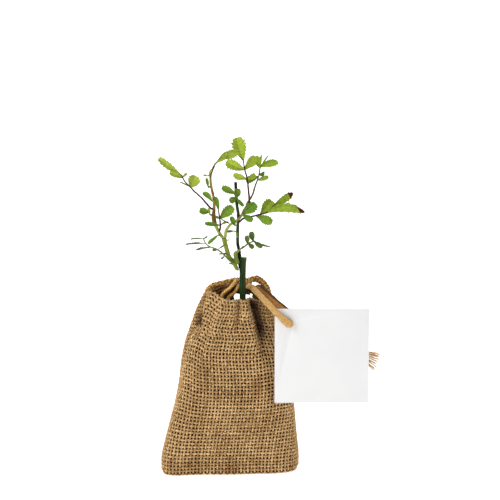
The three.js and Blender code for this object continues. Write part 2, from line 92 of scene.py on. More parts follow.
# ---- The weave ----
WARPS = 122  # an even count, so that the weave closes on itself
WEFTS = 49
PITCH = 2.4  # from one warp thread to the next on the front
STEPS_PER_THREAD = 3  # samples from one crossing to the next
THREAD_SIDES = 6
THREAD_SHARES = {"warp": 0.29, "weft": 0.28}  # half a thread's width, as a share of the pitch
THREAD_SWELL = 0.16  # how much a thread's width wanders along it
THREAD_ODDS = (0.94, 1.06)  # and from one thread to the next
THREAD_DRIFT = {"warp": 0.1, "weft": 0.08}  # how far it wanders aside, as a share of the pitch
THREAD_OFFSET = {"warp": 11.3, "weft": 17.9}  # from where one thread's pattern starts to the next
TURNED_IN_ROWS = 8  # rows of the pouch's grid that lie inside the mouth
BACK_SEAM = math.pi / 2  # the angle where the threads are counted from
TABLE_STEP = 2.0  # from one height to the next in the table of the warp's angles
UNDER_ROWS = 9  # rows of the cloth turned under the foot
RIM_FOLD = 0.75  # half of the gap between the outer and the inner layer at the rim
WEFT_SAG = (3.2, 1.6)  # how far the wefts rise at the front's right edge, and sag over the rest of it

# ---- Stems: points from foot to tip ----
TRUNK_POINTS = [(8.5, 0, 105.3), (8.5, 0, 118), (8.5, 0, 132), (8.6, 0, 140.5), (9.1, 0, 148)]
COLLAR_POINTS = [(8.2, 0, 136.5), (7, -0.2, 141.5), (6.3, -0.2, 147.5), (6, 0, 152.6)]
LEADER_POINTS = [
    (5.95, 0, 153), (5.1, 0, 157), (5, 0.5, 163.5), (5.1, 1, 170), (5.6, 1, 177), (4.6, 1.5, 184),
    (4, 2, 191.5), (3.6, 2, 200.5),
]
MAIN_POINTS = [(1.6, -1, 145.6), (-1, -2, 148.6), (-2.2, -3, 152.5), (-3.6, -4, 158), (-4.5, -5, 162)]
LEFT_POINTS = [
    (-5.5, -5, 162.45), (-8, -4, 166), (-10, -2, 170), (-11.6, 0, 175), (-11.4, 2, 184),
    (-12, 3.5, 190.5), (-13.4, 5, 197), (-14, 6.5, 204), (-13, 8, 208), (-11.5, 9, 211.5),
]
RIGHT_POINTS = [
    (-3.6, -5.4, 162.5), (-2.8, -6.5, 167.5), (0, -7.5, 171.5), (4, -8, 174), (7.4, -8, 177.5),
    (9.6, -7, 182), (12.5, -6, 186.2),
]
LIMB_RADII = {  # at the foot and at the tip, then the share, the width and the height of a swelling
    "trunk": (2.2, 2.25, (0, 0.06, 0.7)),
    "collar": (1.2, 1.15, (0.55, 0.3, 0.35)),
    "leader": (1.1, 1.05, (0.51, 0.02, 0.25)),
    "main": (1.4, 1.65),
    "left": (1.2, 0.75, (0.28, 0.09, 0.5)),
    "right": (1.1, 0.75),
}
MAIN_STARTS = 0.25  # the share of the collar where the main shoot leaves it
MAIN_SPURS = [(0.16, 160, 10, 3.6), (0.55, 180, 25, 5.6), (0.93, 12, 40, 3)]  # share, bearing, pitch, length

LONG_SPUR = 5  # a spur over this length is dead wood
# A limb's sides, steps, slot, the tints of its bark and its streaks, its roughness, and marks across it
# as (from, to, tint, share); None stands for the green shoot's own tint.
BARKS = {
    "leader": (12, 130, "bark", "#1b2c12", "#334d1c", 0.5, [
        (193.5, 202, "#17130f", 1.0), (175.3, 177.6, "#1a2013", 0.9), (150, 159, "#17130f", 0.85),
    ]),
    "main": (16, 110, "green_shoot", None, None, 0.42, [
        (144, 146.8, "#4b5322", 0.6), (149.5, 151.5, "#4f5424", 0.5),
    ]),
    "left": (14, 220, "tan_shoot", "#8e9a44", "#a8a557", 0.5, [
        (171.5, 181.8, "#6b3320", 0.85), (181.8, 204, "#9a7a40", 0.8), (205, 214, "#55201e", 0.95),
        (187.8, 189.4, "#3b2a17", 0.85), (191.2, 195.0, "#84402e", 0.8), (203.4, 205.0, "#4c3a1c", 0.8),
    ]),
    "right": (14, 170, "green_shoot", "#8c9a45", "#a9b25c", 0.5, [(176, 188, "#8b6a3c", 0.8)]),
}

# ---- Leaves ----
GAP = 0.3
LEAF_FOOT = {"width": 0.5, "sunk": 0.25}
STALK_RADII = (0.72, 0.42)  # at the foot and at the tip
STALK_TINTS = {"red": "#431216", "olive": "#544624", "green": "#6b7e32"}
WINGED_STALKS = {"leaf_lower_right": 0.85}  # how much wider the stalk's foot is
TEETH = 7
RED_TIP_SWELL = 1.03  # a red tip lies over its blade
RED_TIP_THICKER = 0.05
# A compound leaf: the limb and the share of it where the leaf stands, its stalk's points, its leaflets
# as (share, bearing, length, width, pitch, roll, bend), and the tints of blades and stalk.
LEAVES = {
    "leaf_top": ("right", 1, [(12.6, -9, 195.5), (11.6, -12, 204), (10, -14, 210.5), (9, -16, 217)], [
        (0.56, 164, 9.8, 6.2, 8, -22), (0.56, 24, 7, 4.8, -18, 20), (0.77, 157, 14, 9, 12, -10),
        (0.78, 48, 11.4, 8.4, -10, 8), (0.985, 106, 15.8, 11.8, 4, 6),
    ], "bright", "red"),
    "leaf_top_right": ("right", 0.955, [(15.2, -1, 191.5), (17.2, 3, 197.5), (19.6, 8, 204),
                                        (21, 12, 211)], [
        (0.66, 18, 8.4, 4.2, 14, 20), (0.76, 200, 10, 6.2, -14, 16), (0.8, 10, 5, 4.4, -30, 20),
        (0.985, 26, 13, 6.8, 12, -8, 18), (0.96, 110, 9, 6.6, 14, 12), (0.985, 85, 8.8, 1.5, 6, 0),
        (0.985, 56, 10, 1.5, 10, 0),
    ], "fresh", "olive"),
    "leaf_far_left": ("left", 0.41, [(-20, -4, 190), (-25, -8, 195), (-27.5, -10, 198),
                                     (-31, -13, 202), (-33, -15, 206.4)], [
        (0.66, 66, 8.8, 10.4, 12, 10), (0.67, 150, 8.4, 1.8, -8, 60), (0.93, 154, 10, 4.6, 22, 24),
        (0.95, 42, 4, 2.4, 0, 20), (0.985, 148, 20.4, 6.2, -6, 26, 12),
    ], "lime", "red"),
    "shoot_tip": ("left", 1, [(-8.2, 11, 215), (-4, 12, 218)], [
        (0.2, 38, 9.6, 4.8, -4, -20), (0.62, 32, 13.2, 8, 6, 12, 16), (0.45, 46, 8.4, 5, 16, 24),
    ], "lime", "green"),
    "leaf_mid_left": ("left", 0.33, [(-14.8, -0.6, 179.6)], [
        (0.96, 166, 7, 6, 12, 12), (0.5, 100, 4.6, 2.4, 20, 10),
    ], "leafy", "green"),
    "leaf_up_left": ("left", 0.53, [(-13, 6, 186.6)], [
        (0.9, 118, 9.6, 5, -16, -14, -34),
    ], "leafy", "green"),
    "leaf_stem_upper": ("left", 0.71, [(-15.5, 3.3, 196.4)], [
        (0.9, 100, 6.8, 2.8, 5, 24),
    ], "leafy", "green"),
    "stipules_upper": ("left", 0.85, [(-15.6, 3.4, 204.6)], [
        (0.9, 168, 3.6, 1.6, 5, 10), (0.6, 66, 5.6, 1.7, 24, 10),
    ], "lime", "green"),
    "leaf_centre_left": ("left", 0.09, [(-6.8, -8.6, 170.5), (-7.2, -12, 176.5), (-8, -15, 182.5)], [
        (0.32, 170, 10.8, 3.8, 10, 22), (0.32, 50, 6.6, 2.6, 14, 30, 50), (0.62, 43, 12.2, 8.6, 6, -6),
        (0.62, 150, 3.4, 2.2, 10, 20), (0.64, -29, 7.4, 1, 10, 0), (0.985, 100, 9.8, 4.8, -12, 42),
    ], "leafy", "red"),
    "leaf_narrow_left": ("left", 0.045, [(-8.2, -6.4, 164.6)], [
        (0.9, 218, 9.6, 3.8, 14, 44),
    ], "leafy", "green"),
    "leaf_lower_left": ("main", 0.3, [(-6.2, -9, 152.5), (-10, -14, 155.6), (-14.5, -19, 158),
                                      (-17, -22, 161), (-18, -24, 164)], [
        (0.25, 222, 3.6, 1.6, 10, 0), (0.5, 182, 3.4, 2.6, 10, 20), (0.5, 40, 7.6, 3, -14, 62, 30),
        (0.68, 184, 10.8, 4, 8, 74), (0.85, 176, 13.8, 4, 6, 76), (0.985, 176, 8.8, 3.4, 4, 76),
        (0.985, 32, 3.2, 1.6, 0, 20),
    ], "grey", "green"),
    "leaf_lower_right": ("main", 0.2, [(3.6, -4.4, 151), (6, -4.6, 153.4), (9.4, -3, 155.6),
                                       (13, 3, 157.6), (17, 9, 158.4)], [
        (0.42, 40, 3.6, 1.8, 10, 0), (0.7, 97, 6, 4.2, 6, 10), (0.72, -38, 5, 4.2, 10, -10),
        (0.94, 104, 7, 5.2, -6, -8), (0.96, -34, 7.4, 4.8, 14, 14), (0.985, -26, 12.4, 3.6, -8, 60),
    ], "olive", "green"),
    "leaf_leader_top": ("leader", 0.76, [(3.8, -2.8, 193)], [
        (0.9, 153, 10.8, 5.8, 6, 10), (0.1, 82, 7.2, 6.4, 12, 18), (0.4, 214, 5.6, 5.6, 20, -8),
        (0.3, -48, 8, 3.6, 24, 16),
    ], "leafy", "green"),
    "leaf_centre": ("right", 0.66, [(8.4, -12, 178.6), (9.4, -15, 179.8)], [
        (0.95, 40, 11, 9, 12, -10), (0.6, -30, 7.8, 5.8, 10, 12),
    ], "dark", "green"),
    "leaf_fork_right": ("right", 0.43, [(3.8, -11.4, 171.2)], [
        (0.9, 116, 7, 4.4, 10, 16),
    ], "dark", "green"),
    "leaf_right": ("right", 0.55, [(8.8, -9.6, 176), (13, -10, 177), (19, -12.4, 178.8),
                                   (26, -13.4, 181), (30, -12, 185.6)], [
        (0.49, -24, 12, 8, 8, 8), (0.6, 49, 13.4, 9.4, -22, -12), (0.73, 30, 27, 9.4, 10, -6, 52),
        (0.985, 30, 16, 6.8, -4, 14),
    ], "fresh", "red"),
    "leaf_mid_twig": ("leader", 0.2, [(4.2, -4, 166), (2.6, -7, 167.2)], [
        (0.95, 180, 5.8, 3.2, 30, 66),
    ], "olive", "green"),
}
ODD_BLADES = {  # leaflets whose tint isn't their leaf's
    ("leaf_top_right", 1): "dark", ("leaf_top_right", 2): "dark", ("leaf_far_left", 1): "leafy",
    ("leaf_centre_left", 0): "dark", ("leaf_centre_left", 4): "red",
    ("leaf_leader_top", 3): "dark", ("leaf_right", 0): "leafy", ("leaf_mid_left", 1): "lime",
}
RED_TIPS = {("leaf_right", 2): 0.84, ("leaf_right", 3): 0.8}  # from this share of the blade on
BLADE_SHARES = [0, 0.1, 0.25, 0.4, 0.55, 0.7, 0.84, 0.92, 0.97, 1]
BLADE = [0.1, 0.27, 0.56, 0.84, 1, 1.02, 0.92, 0.74, 0.5, 0.14]  # its width at those shares
RAGGED_BLADE = [0.1, 0.27, 0.56, 0.84, 1, 1.02, 0.78, 0.5, 0.26, 0.04]

# ---- Drawstring, hem and card ----
HEM_RADIUS = 1.7
HEM_ARC = (200, 71, -16)  # degrees round the rim, where 90 is the back: from, to, step
HEM_ROLL = {"radius": 1.45, "ripple": 0.16, "twist": 5.0}  # of the wrapped weave
HEM_WARMTH = (1.25, 1.08, 0.78)  # red, green and blue of the hem's threads beside the bag's
# gains for the mouth's gathers and the hem's core: a warmer tone, and lighter as painted light on folds that
# lie in shade
GATHER_WARMTH_AND_LIGHT = (1.9, 1.5, 1.1)
REAR_TAIL_PAINTED_SHADE = (0.66, 0.5, 0.36)  # painted shade: a darker copy of the cord for the rear tail, which hangs in the bag's shade
HEM_LOOP = [(17, 15.5, 130.6), (21.8, 12, 129), (25.6, 7, 125.6), (27.3, 3.4, 121)]
CORD = {"width": 5, "thickness": 2.2}
CARD = {
    "width": 64.5, "height": 65.5, "thickness": 0.6, "bevel": 0.09, "left": 30.5, "top": 116, "front": -27,
    "hole": 2.3,
}
CARD_HOLE = (40.7, 105.9)
FRONT_TAIL = [
    (11.6, 14.4, 125.6), (13.2, 7.4, 126.2), (16.6, 0, 125), (20.8, -11, 122.4), (26, -21.5, 118.6),
    (29.4, -28.9, 116), (34.6, -29.6, 111), (38.2, -29.7, 107.7), (40.7, -27, 105.9), (40.7, -24.6, 105.9),
]
FRONT_FLARE = (0.84, 0.91, 1.1)  # where it starts to widen towards the card, where it has, and how much
FRONT_SLIM = 0.84
CORD_KNOT = (40.3, -29.1, 106)
KNOT_RADII = (2.9, 1.45, 2.8)
REAR_TAIL = [
    (17.4, 12.6, 124.6), (20.4, 6.4, 124.8), (25.4, -2.4, 122.2), (32.8, -13.4, 116.8),
    (41.4, -21.2, 111.4), (54, -24.4, 103.8), (75.5, -24.9, 91.6), (92.6, -24.9, 80.9),
]
FRAY_WARMTH = (1.7, 1.5, 1.25)  # of the palest frayed strands beside the tassel's own tint
TASSEL_FOOT = (87.8, -24.9, 84.2)  # behind the card, in the cord's cut end
TASSEL_REACH = 8.4  # of the longest strands past the card's edge
TASSEL_FAN = (-27, 19)  # the middle and the half spread of the strands, in degrees
STRANDS_PER_LOCK = 15
TASSEL_LOCKS = (0.62, 0.7, 0.85, 0.72, 0.9, 1, 0.94, 0.98)  # each lock's share of that, from the lowest
MOUTH_FOLDS = [  # gathers on the inside of the back wall, and their radius
    ([(-8, 7.4, 114), (-6.1, 10.6, 119.2), (0.3, 13.2, 125), (3.9, 14.8, 129)], 3.1),
    ([(-3, 9.6, 112), (-1.4, 12, 117.8), (2.1, 13.4, 120.6), (6, 14.6, 126.4)], 2.9),
]

# ---- Stains, marks, painted shade and a painted highlight ----
# painted shade for the rows turned inside the mouth
MOUTH_SHADE = "#6b3a16"
STAIN = "#7c3f1c"
STAIN_SPOT = (18.3, -26, 60)
# painted shade for the crease and the pocket of the neck
PAINTED_FOLD_SHADE = "#2a170b"
CORD_FLECK = "#6d4520"
DARK_UPPER_EDGE = "#3a2412"
# painted highlight down the trunk's right side
PAINTED_TRUNK_HIGHLIGHT = "#5c5644"
BARK_SCAR = "#120f0c"
CUT_WOOD = "#8d8a5c"
DEAD_WOOD = ("#15120d", "#2b2418")

# ---- Light and view ----
LIGHTS = {  # place in metres, size, watts
    "key": ((-1.25, -0.75, 1.25), 1.1, 17),
    "fill": ((1.3, -0.9, 0.7), 1.2, 0.8),
    "crown": ((0.1, 0.4, 1.5), 1.0, 8),
}
LIT_POINT = Vector((0, 0, 0.1))
FLOOR_SIDE = 40  # in metres, as the wall's are
WALL_SIDE = 9
WALL_AT = (0, 4, 2)
FLOOR_GLOW = 0.58
WALL_GLOW = 0.62
SKY_GLOW = 0.42
CAMERA_AT = Vector((13.65, -800, 250))
CAMERA_AIM = Vector((13.65, 0, 153.063))
LENS = 82.888
SENSOR = 36


# ---- Small sums ----
def lerp(a, b, t):
    return a + (b - a) * t


def unit(vectors):
    return vectors / (np.linalg.norm(vectors, axis=-1, keepdims=True) + 1e-9)


def run_along(points):
    """The length from the first point to each."""
    return np.concatenate([[0], np.cumsum(np.linalg.norm(np.diff(points, axis=0), axis=1))])


def smooth(value, low, high):
    t = np.clip((value - low) / (high - low), 0, 1)
    return t * t * (3 - 2 * t)


def colour(code):
    """A plain hex colour as the linear values that Blender's sockets take."""
    parts = [int(code[i:i + 2], 16) / 255 for i in (1, 3, 5)]
    return tuple(p / 12.92 if p <= 0.04045 else ((p + 0.055) / 1.055) ** 2.4 for p in parts)


def scaled(tint, gain):
    return tuple(min(c * gain, 1) for c in tint)


def warmed(shades, gains):
    return [tuple(min(c * gain, 1) for c, gain in zip(shade, gains)) for shade in shades]


def seeded(seed):
    """The source's own generator: numbers from -1 to 1, the same on every run."""
    state = seed

    def following():
        nonlocal state
        state = state * 16807 % 2147483647
        return state / 2147483647 * 2 - 1

    return following


def wander(count, reach, seed, closed=False):
    """A slow random walk of values within +-1, one for each of count samples."""
    draw = np.random.default_rng(seed).standard_normal(count)
    tail = 3 * reach
    weights = np.exp(-(np.arange(-tail, tail + 1) / reach) ** 2 / 2)
    padded = np.pad(draw, tail, "wrap" if closed else "edge")
    walk = np.convolve(padded, weights, "valid")
    return np.clip(walk / (np.abs(walk).max() or 1), -1, 1)


# ---- Curves ----
class Path:
    """A centripetal curve through points, read by its share of the length."""

    def __init__(self, points, per_span=48):
        knots = np.array([tuple(p) for p in points], float)
        knots = np.vstack([2 * knots[0] - knots[1], knots, 2 * knots[-1] - knots[-2]])
        spans = []
        for i in range(1, len(knots) - 2):
            spans.append(self.span(knots[i - 1:i + 3], np.linspace(0, 1, per_span, endpoint=False)))
        self.points = np.vstack([*spans, knots[-2:-1]])
        self.run = run_along(self.points)
        self.length = self.run[-1]

    @staticmethod
    def span(p, t):
        gaps = np.sqrt(np.linalg.norm(np.diff(p, axis=0), axis=1))
        before, middle, after = gaps
        slope = (p[2] - p[1]) / middle
        start = ((p[1] - p[0]) / before - (p[2] - p[0]) / (before + middle) + slope) * middle
        stop = (slope - (p[3] - p[1]) / (middle + after) + (p[3] - p[2]) / after) * middle
        t = t[:, None]
        return (2 * t**3 - 3 * t**2 + 1) * p[1] + (t**3 - 2 * t**2 + t) * start \
            + (3 * t**2 - 2 * t**3) * p[2] + (t**3 - t**2) * stop

    def at(self, share):
        run = np.asarray(share) * self.length
        return np.stack([np.interp(run, self.run, self.points[:, k]) for k in range(3)], axis=-1)

    def along(self, share, near=0.004):
        share = np.asarray(share, float)
        ahead = self.at(np.clip(share + near, 0, 1)) - self.at(np.clip(share - near, 0, 1))
        return unit(ahead)


def heading(bearing, pitch):
    b, p = math.radians(bearing), math.radians(pitch)
    return np.array([math.cos(b) * math.cos(p), -math.sin(p), math.sin(b) * math.cos(p)])


class Limb:
    """A stem: its curve and its radius along it."""

    def __init__(self, points, foot_radius, tip_radius, bulge=(0, 1, 0)):
        self.path = Path(points)
        self.radii = (foot_radius, tip_radius)
        self.bulge = bulge  # share, width, height

    def radius(self, share):
        centre, width, height = self.bulge
        return lerp(*self.radii, share) + height * np.exp(-(((share - centre) / width) ** 2))

    def seat(self, share, towards):
        """Where a stalk starts, just clear of the bark, on the side that faces a point."""
        reach = 1.0
        at, along = self.path.at(share), self.path.along(share)
        if share == 1:
            return [at + along * GAP, at + along * reach]
        out = np.array(towards) - at
        out -= along * np.dot(out, along)
        out = unit(out)
        clear = self.radius(share) + GAP
        return [at + out * clear, at + out * (clear + reach)]


def make_limbs():
    collar = Limb(COLLAR_POINTS, *LIMB_RADII["collar"])
    lines = {
        "trunk": TRUNK_POINTS,
        "leader": LEADER_POINTS,
        "main": [*collar.seat(MAIN_STARTS, MAIN_POINTS[0]), *MAIN_POINTS],
        "left": LEFT_POINTS,
        "right": RIGHT_POINTS,
    }
    return {"collar": collar, **{name: Limb(points, *LIMB_RADII[name]) for name, points in lines.items()}}


LIMBS = make_limbs()


# ---- Shaping with operators ----
def deselect():
    if bpy.context.object and bpy.context.object.mode != "OBJECT":
        bpy.ops.object.mode_set(mode="OBJECT")
    bpy.ops.object.select_all(action="DESELECT")


def added(name):
    made = bpy.context.object
    made.name = made.data.name = name
    return made


def primitive(add, name, **settings):
    deselect()
    add(**settings)
    return added(name)


def linked(name, data):
    made = bpy.data.objects.new(name, data)
    bpy.context.collection.objects.link(made)
    return made


def hold(obj):
    deselect()
    obj.select_set(True)
    bpy.context.view_layer.objects.active = obj


def in_edit(obj, *steps):
    """Selects all of a piece in edit mode and runs the steps on it."""
    hold(obj)
    bpy.ops.object.mode_set(mode="EDIT")
    bpy.ops.mesh.select_all(action="SELECT")
    for step in steps:
        step()
    bpy.ops.object.mode_set(mode="OBJECT")


def merge_doubles():
    bpy.ops.mesh.remove_doubles(threshold=1e-7)


def outward():
    bpy.ops.mesh.normals_make_consistent(inside=False)


def apply_modifier(obj, kind, **settings):
    hold(obj)
    modifier = obj.modifiers.new(kind.title(), kind)
    for key, value in settings.items():
        setattr(modifier, key, value)
    bpy.ops.object.modifier_apply(modifier=modifier.name)


def freeze(obj):
    """Puts a piece's place into its mesh."""
    hold(obj)
    bpy.ops.object.transform_apply(location=True, rotation=True, scale=True)


def join(pieces, name):
    hold(pieces[0])
    for piece in pieces[1:]:
        piece.select_set(True)
    if len(pieces) > 1:
        bpy.ops.object.join()
    return added(name)


def finish_piece(obj, material, slot, *nodes, smooth_shading=True):
    """Gives a piece its finish, attaches it to the root body, and hides the parts of the model that it
    stands for.
    """
    hold(obj)
    if smooth_shading:
        bpy.ops.object.shade_smooth()
    obj.data.materials.clear()
    obj.data.materials.append(material)
    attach(obj, "root")
    if nodes:
        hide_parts(*nodes)
    return obj


def place(obj, position):
    """Moves each vertex of a primitive to position(its old place)."""
    mesh = obj.data
    old = np.empty(len(mesh.vertices) * 3)
    mesh.vertices.foreach_get("co", old)
    new = position(old.reshape(-1, 3)) * MM
    mesh.vertices.foreach_set("co", new.ravel())
    mesh.update()
    return old.reshape(-1, 3)


def lay_uv(obj, old, length):
    """Sets a bent cylinder's UV map: millimetres along it, and the share of a turn round it."""
    mesh = obj.data
    turn = np.mod(np.arctan2(old[:, 1], old[:, 0]) / (2 * math.pi), 1)
    layer = mesh.uv_layers.active.data
    for face in mesh.polygons:
        turns = [turn[v] for v in face.vertices]
        wraps = max(turns) - min(turns) > 0.5
        for loop, value in zip(face.loop_indices, turns):
            v = mesh.loops[loop].vertex_index
            layer[loop].uv = ((old[v, 2] + 0.5) * length, value + (1 if wraps and value < 0.5 else 0))


def bent_rod(name, path, sides, steps, section, sideways=None, relief=None):
    """A cylinder bent along a path. section(share) gives its half width along "sideways" and its half
    thickness; relief(share, turn) scales both, for bark, grooves and folds."""
    rod = primitive(bpy.ops.mesh.primitive_cylinder_add, name,
                    vertices=sides, radius=1, depth=1, end_fill_type="NGON")
    bpy.ops.object.mode_set(mode="EDIT")
    mesh = bmesh.from_edit_mesh(rod.data)
    for edge in mesh.edges:
        edge.select_set(abs(edge.verts[0].co.z - edge.verts[1].co.z) > 0.5)
    bmesh.update_edit_mesh(rod.data)
    bpy.ops.mesh.subdivide(number_cuts=steps - 1)
    bpy.ops.object.mode_set(mode="OBJECT")
    if sideways is None:
        mean_run = np.abs(path.along(np.linspace(0, 1, 9))).max(axis=0)
        sideways = np.eye(3)[mean_run.argmin()]

    def position(old):
        share = np.clip(old[:, 2] + 0.5, 0, 1)
        along = path.along(share)
        across = unit(sideways - along * (along @ sideways)[:, None])
        towards = np.cross(across, along)
        half_width, half_thickness = section(share)
        scale = 1 if relief is None else relief(share, np.arctan2(old[:, 1], old[:, 0]))
        return path.at(share) + across * (old[:, 0] * half_width * scale)[:, None] \
            + towards * (old[:, 1] * half_thickness * scale)[:, None]

    old = place(rod, position)
    lay_uv(rod, old, path.length)
    in_edit(rod, outward)
    return rod


# ---- Many small things in one mesh ----
class Bundle:
    """Gathers many thin tubes, and makes them one joined mesh."""

    def __init__(self):
        self.points, self.faces, self.uvs, self.shades, self.lifts = [], [], [], [], []
        self.count = 0

    def thread(self, centres, normals, half_width, half_thickness, shade, run_from=0, lift=1.0,
               sides=THREAD_SIDES):
        """A flattened thread that lies on a surface with these normals. shade: its own number; run_from:
        where its pattern starts; lift: 1 where it lies on top, -1 where another thread covers it, two lower
        on the rows inside the mouth, from which the finish paints shade."""
        rings = thread_rings(centres, normals, half_width, half_thickness, sides)
        self.tube(rings, run_along(centres) + run_from, shade, lift)

    def tube(self, rings, run, shade, lift):
        """rings: an array of ring, side, xyz; run: the length at each ring."""
        steps, sides = rings.shape[:2]
        i, j = np.meshgrid(np.arange(steps - 1), np.arange(sides), indexing="ij")
        beside = (j + 1) % sides
        quads = np.stack([
            i * sides + j, i * sides + beside, (i + 1) * sides + beside, (i + 1) * sides + j,
        ], -1)
        uv = np.stack([
            np.stack([run[i], j / sides], -1), np.stack([run[i], (j + 1) / sides], -1),
            np.stack([run[i + 1], (j + 1) / sides], -1), np.stack([run[i + 1], j / sides], -1),
        ], 2)
        for ring, turn in ((0, 1), (steps - 1, -1)):
            base = ring * sides
            for k in range(1, sides // 2):
                cap = [base + k - 1, base + sides - k, base + sides - k - 1, base + k]
                quads = np.concatenate([quads.reshape(-1, 4), np.array([cap[::turn]])])
                uv = np.concatenate([uv.reshape(-1, 4, 2), np.full((1, 4, 2), (run[ring], 0.5))])
        self.points.append(rings.reshape(-1, 3))
        self.faces.append(quads.reshape(-1, 4) + self.count)
        self.uvs.append(uv.reshape(-1, 2))
        self.shades.append(np.full(steps * sides, shade))
        self.lifts.append(np.repeat(np.broadcast_to(lift, steps), sides))
        self.count += steps * sides

    def build(self, name):
        """All the tubes as one mesh object, with their own numbers as attributes."""
        points = np.concatenate(self.points) * MM
        faces = np.concatenate(self.faces)
        mesh = bpy.data.meshes.new(name)
        mesh.vertices.add(len(points))
        mesh.vertices.foreach_set("co", points.ravel())
        mesh.loops.add(faces.size)
        mesh.loops.foreach_set("vertex_index", faces.ravel())
        mesh.polygons.add(len(faces))
        mesh.polygons.foreach_set("loop_start", np.arange(0, faces.size, 4))
        mesh.uv_layers.new(name="UVMap").data.foreach_set("uv", np.concatenate(self.uvs).ravel())
        for key, values in (("strand", self.shades), ("lift", self.lifts)):
            mesh.attributes.new(key, "FLOAT", "POINT").data.foreach_set("value", np.concatenate(values))
        mesh.update(calc_edges=True)
        mesh.validate()
        return linked(name, mesh)


def thread_rings(centres, normals, half_width, half_thickness, sides):
    """The rings of a flattened thread that lies on a surface with these normals."""
    across = unit(np.cross(normals, unit(np.gradient(centres, axis=0))))
    turns = (np.arange(sides) * 2 * math.pi / sides)[None, :, None]
    half_widths = np.broadcast_to(half_width, len(centres))[:, None, None]
    wide = across[:, None] * np.cos(turns) * half_widths
    high = normals[:, None] * np.sin(turns) * half_thickness
    return centres[:, None] + wide + high


# ---- The pouch's surface ----
def smoothed_outline():
    """The outline's columns at close heights, softened above the foot's own corner."""
    step, reach, tail = 0.5, 5, 12
    heights = np.arange(0, CLOTH_TOP + step, step)
    spread = np.exp(-(np.arange(-tail, tail + 1) / reach) ** 2 / 2)
    table = []
    for k in (1, 2, 3):
        column = np.interp(heights, POUCH_OUTLINE[:, 0], POUCH_OUTLINE[:, k])
        soft = np.convolve(np.pad(column, tail, "edge"), spread / spread.sum(), "valid")
        table.append(lerp(column, soft, smooth(heights, 4, 12)))
    return heights, table


OUTLINE = smoothed_outline()


def pouch_point(angle, height, inwards=0.0, gathered=1.0):
    """Points of the pouch's outer face at angles round it (0 is +X, 90 degrees the back), moved inwards."""
    left, right, depth = (np.interp(height, OUTLINE[0], column) for column in OUTLINE[1])
    middle, half = (left + right) / 2, (right - left) / 2
    power = 2 / lerp(SQUARE_BASE, ROUND_NECK, smooth(height, *ROUNDING))
    x = half * np.sign(np.cos(angle)) * np.abs(np.cos(angle)) ** power
    y = depth * np.sign(np.sin(angle)) * np.abs(np.sin(angle)) ** power
    sink, back = inwards, 0.0
    for pleats in (NECK_PLEATS, SMALL_PLEATS):
        deep = pleats["depth"] * smooth(height, pleats["low"], pleats["high"])
        sink = sink + deep * (0.5 + 0.5 * np.cos(pleats["count"] * angle + PLEAT_PHASE))
    deep = gathered * GATHERS["depth"] * smooth(height, GATHERS["low"], GATHERS["high"])
    deep = deep * (1 - GATHERS["ease"] * smooth(height, *GATHERS["eased"]))
    fluted = (0.5 + 0.5 * np.cos(GATHERS["count"] * angle)) ** GATHERS["sharpness"]
    sink = sink + deep * smooth(np.sin(angle), *GATHERS["front_fade"]) * fluted
    for crease in CREASES:
        (low, low_x), (high, high_x) = crease["low"], crease["high"]
        t = (height - low) / (high - low)
        aside = x + middle - lerp(low_x, high_x, t)
        off = aside / np.where(aside < 0, *crease["widths"])
        fade = smooth(t, -0.1, 0.4) * (1 - 0.75 * smooth(t, 0.8, 1.1)) * smooth(-y, 0, 4)
        deep = crease["depth"] * fade * np.exp(-off * off)
        if crease["straight"]:
            back = back + deep
        else:
            sink = sink + deep
    bulge = np.interp(x + middle, *zip(*FOOT_BULGE)) * smooth(-y, 2, 16) * smooth(height, *BULGE_FADE)
    back = back - bulge
    scale = 1 - sink / np.hypot(x, y)
    return np.stack(np.broadcast_arrays(middle + x * scale, y * scale + back, height), -1)


def rim_height(angle):
    once = RIM["right"] * np.cos(angle) + RIM["back"] * np.sin(angle)
    twice = RIM["twofold"] * np.cos(2 * angle) + RIM["skew"] * np.sin(2 * angle)
    slack = np.interp(np.cos(angle), *zip(*RIM_SLACK)) * smooth(-np.sin(angle), 0.0, 0.4)
    return RIM["middle"] + once + twice + slack


def thread_angles(columns):
    """The warp's angles at every TABLE_STEP of height: PITCH apart over the front, folds and all, and
    crowded at the sides and the back as far as the girth there asks."""
    heights = np.arange(0, CLOTH_TOP, TABLE_STEP)
    near = np.concatenate([[0], np.logspace(-8, -2, 90)])  # closer angles where the square foot turns fast
    corners = (quarter * math.pi / 2 + side * near for quarter in range(5) for side in (1, -1))
    dense = np.concatenate([np.linspace(0, 2 * math.pi, 1441), *corners])
    dense = BACK_SEAM + np.unique(np.clip(dense, 0, 2 * math.pi))
    shares = np.arange(columns) / columns
    table = np.empty((len(heights), columns))
    for row, height in enumerate(heights):
        ring = pouch_point(dense, height)
        lengths = np.linalg.norm(np.diff(ring, axis=0), axis=1)
        behind = smooth(np.sin(dense[:-1]), -0.6, -0.1)
        crowd = (WARPS * PITCH - np.sum(lengths * (1 - behind))) / np.sum(lengths * behind)
        run = np.concatenate([[0], np.cumsum(lengths * lerp(1, crowd, behind))])
        table[row] = np.interp(shares, run / run[-1], dense)
    return table


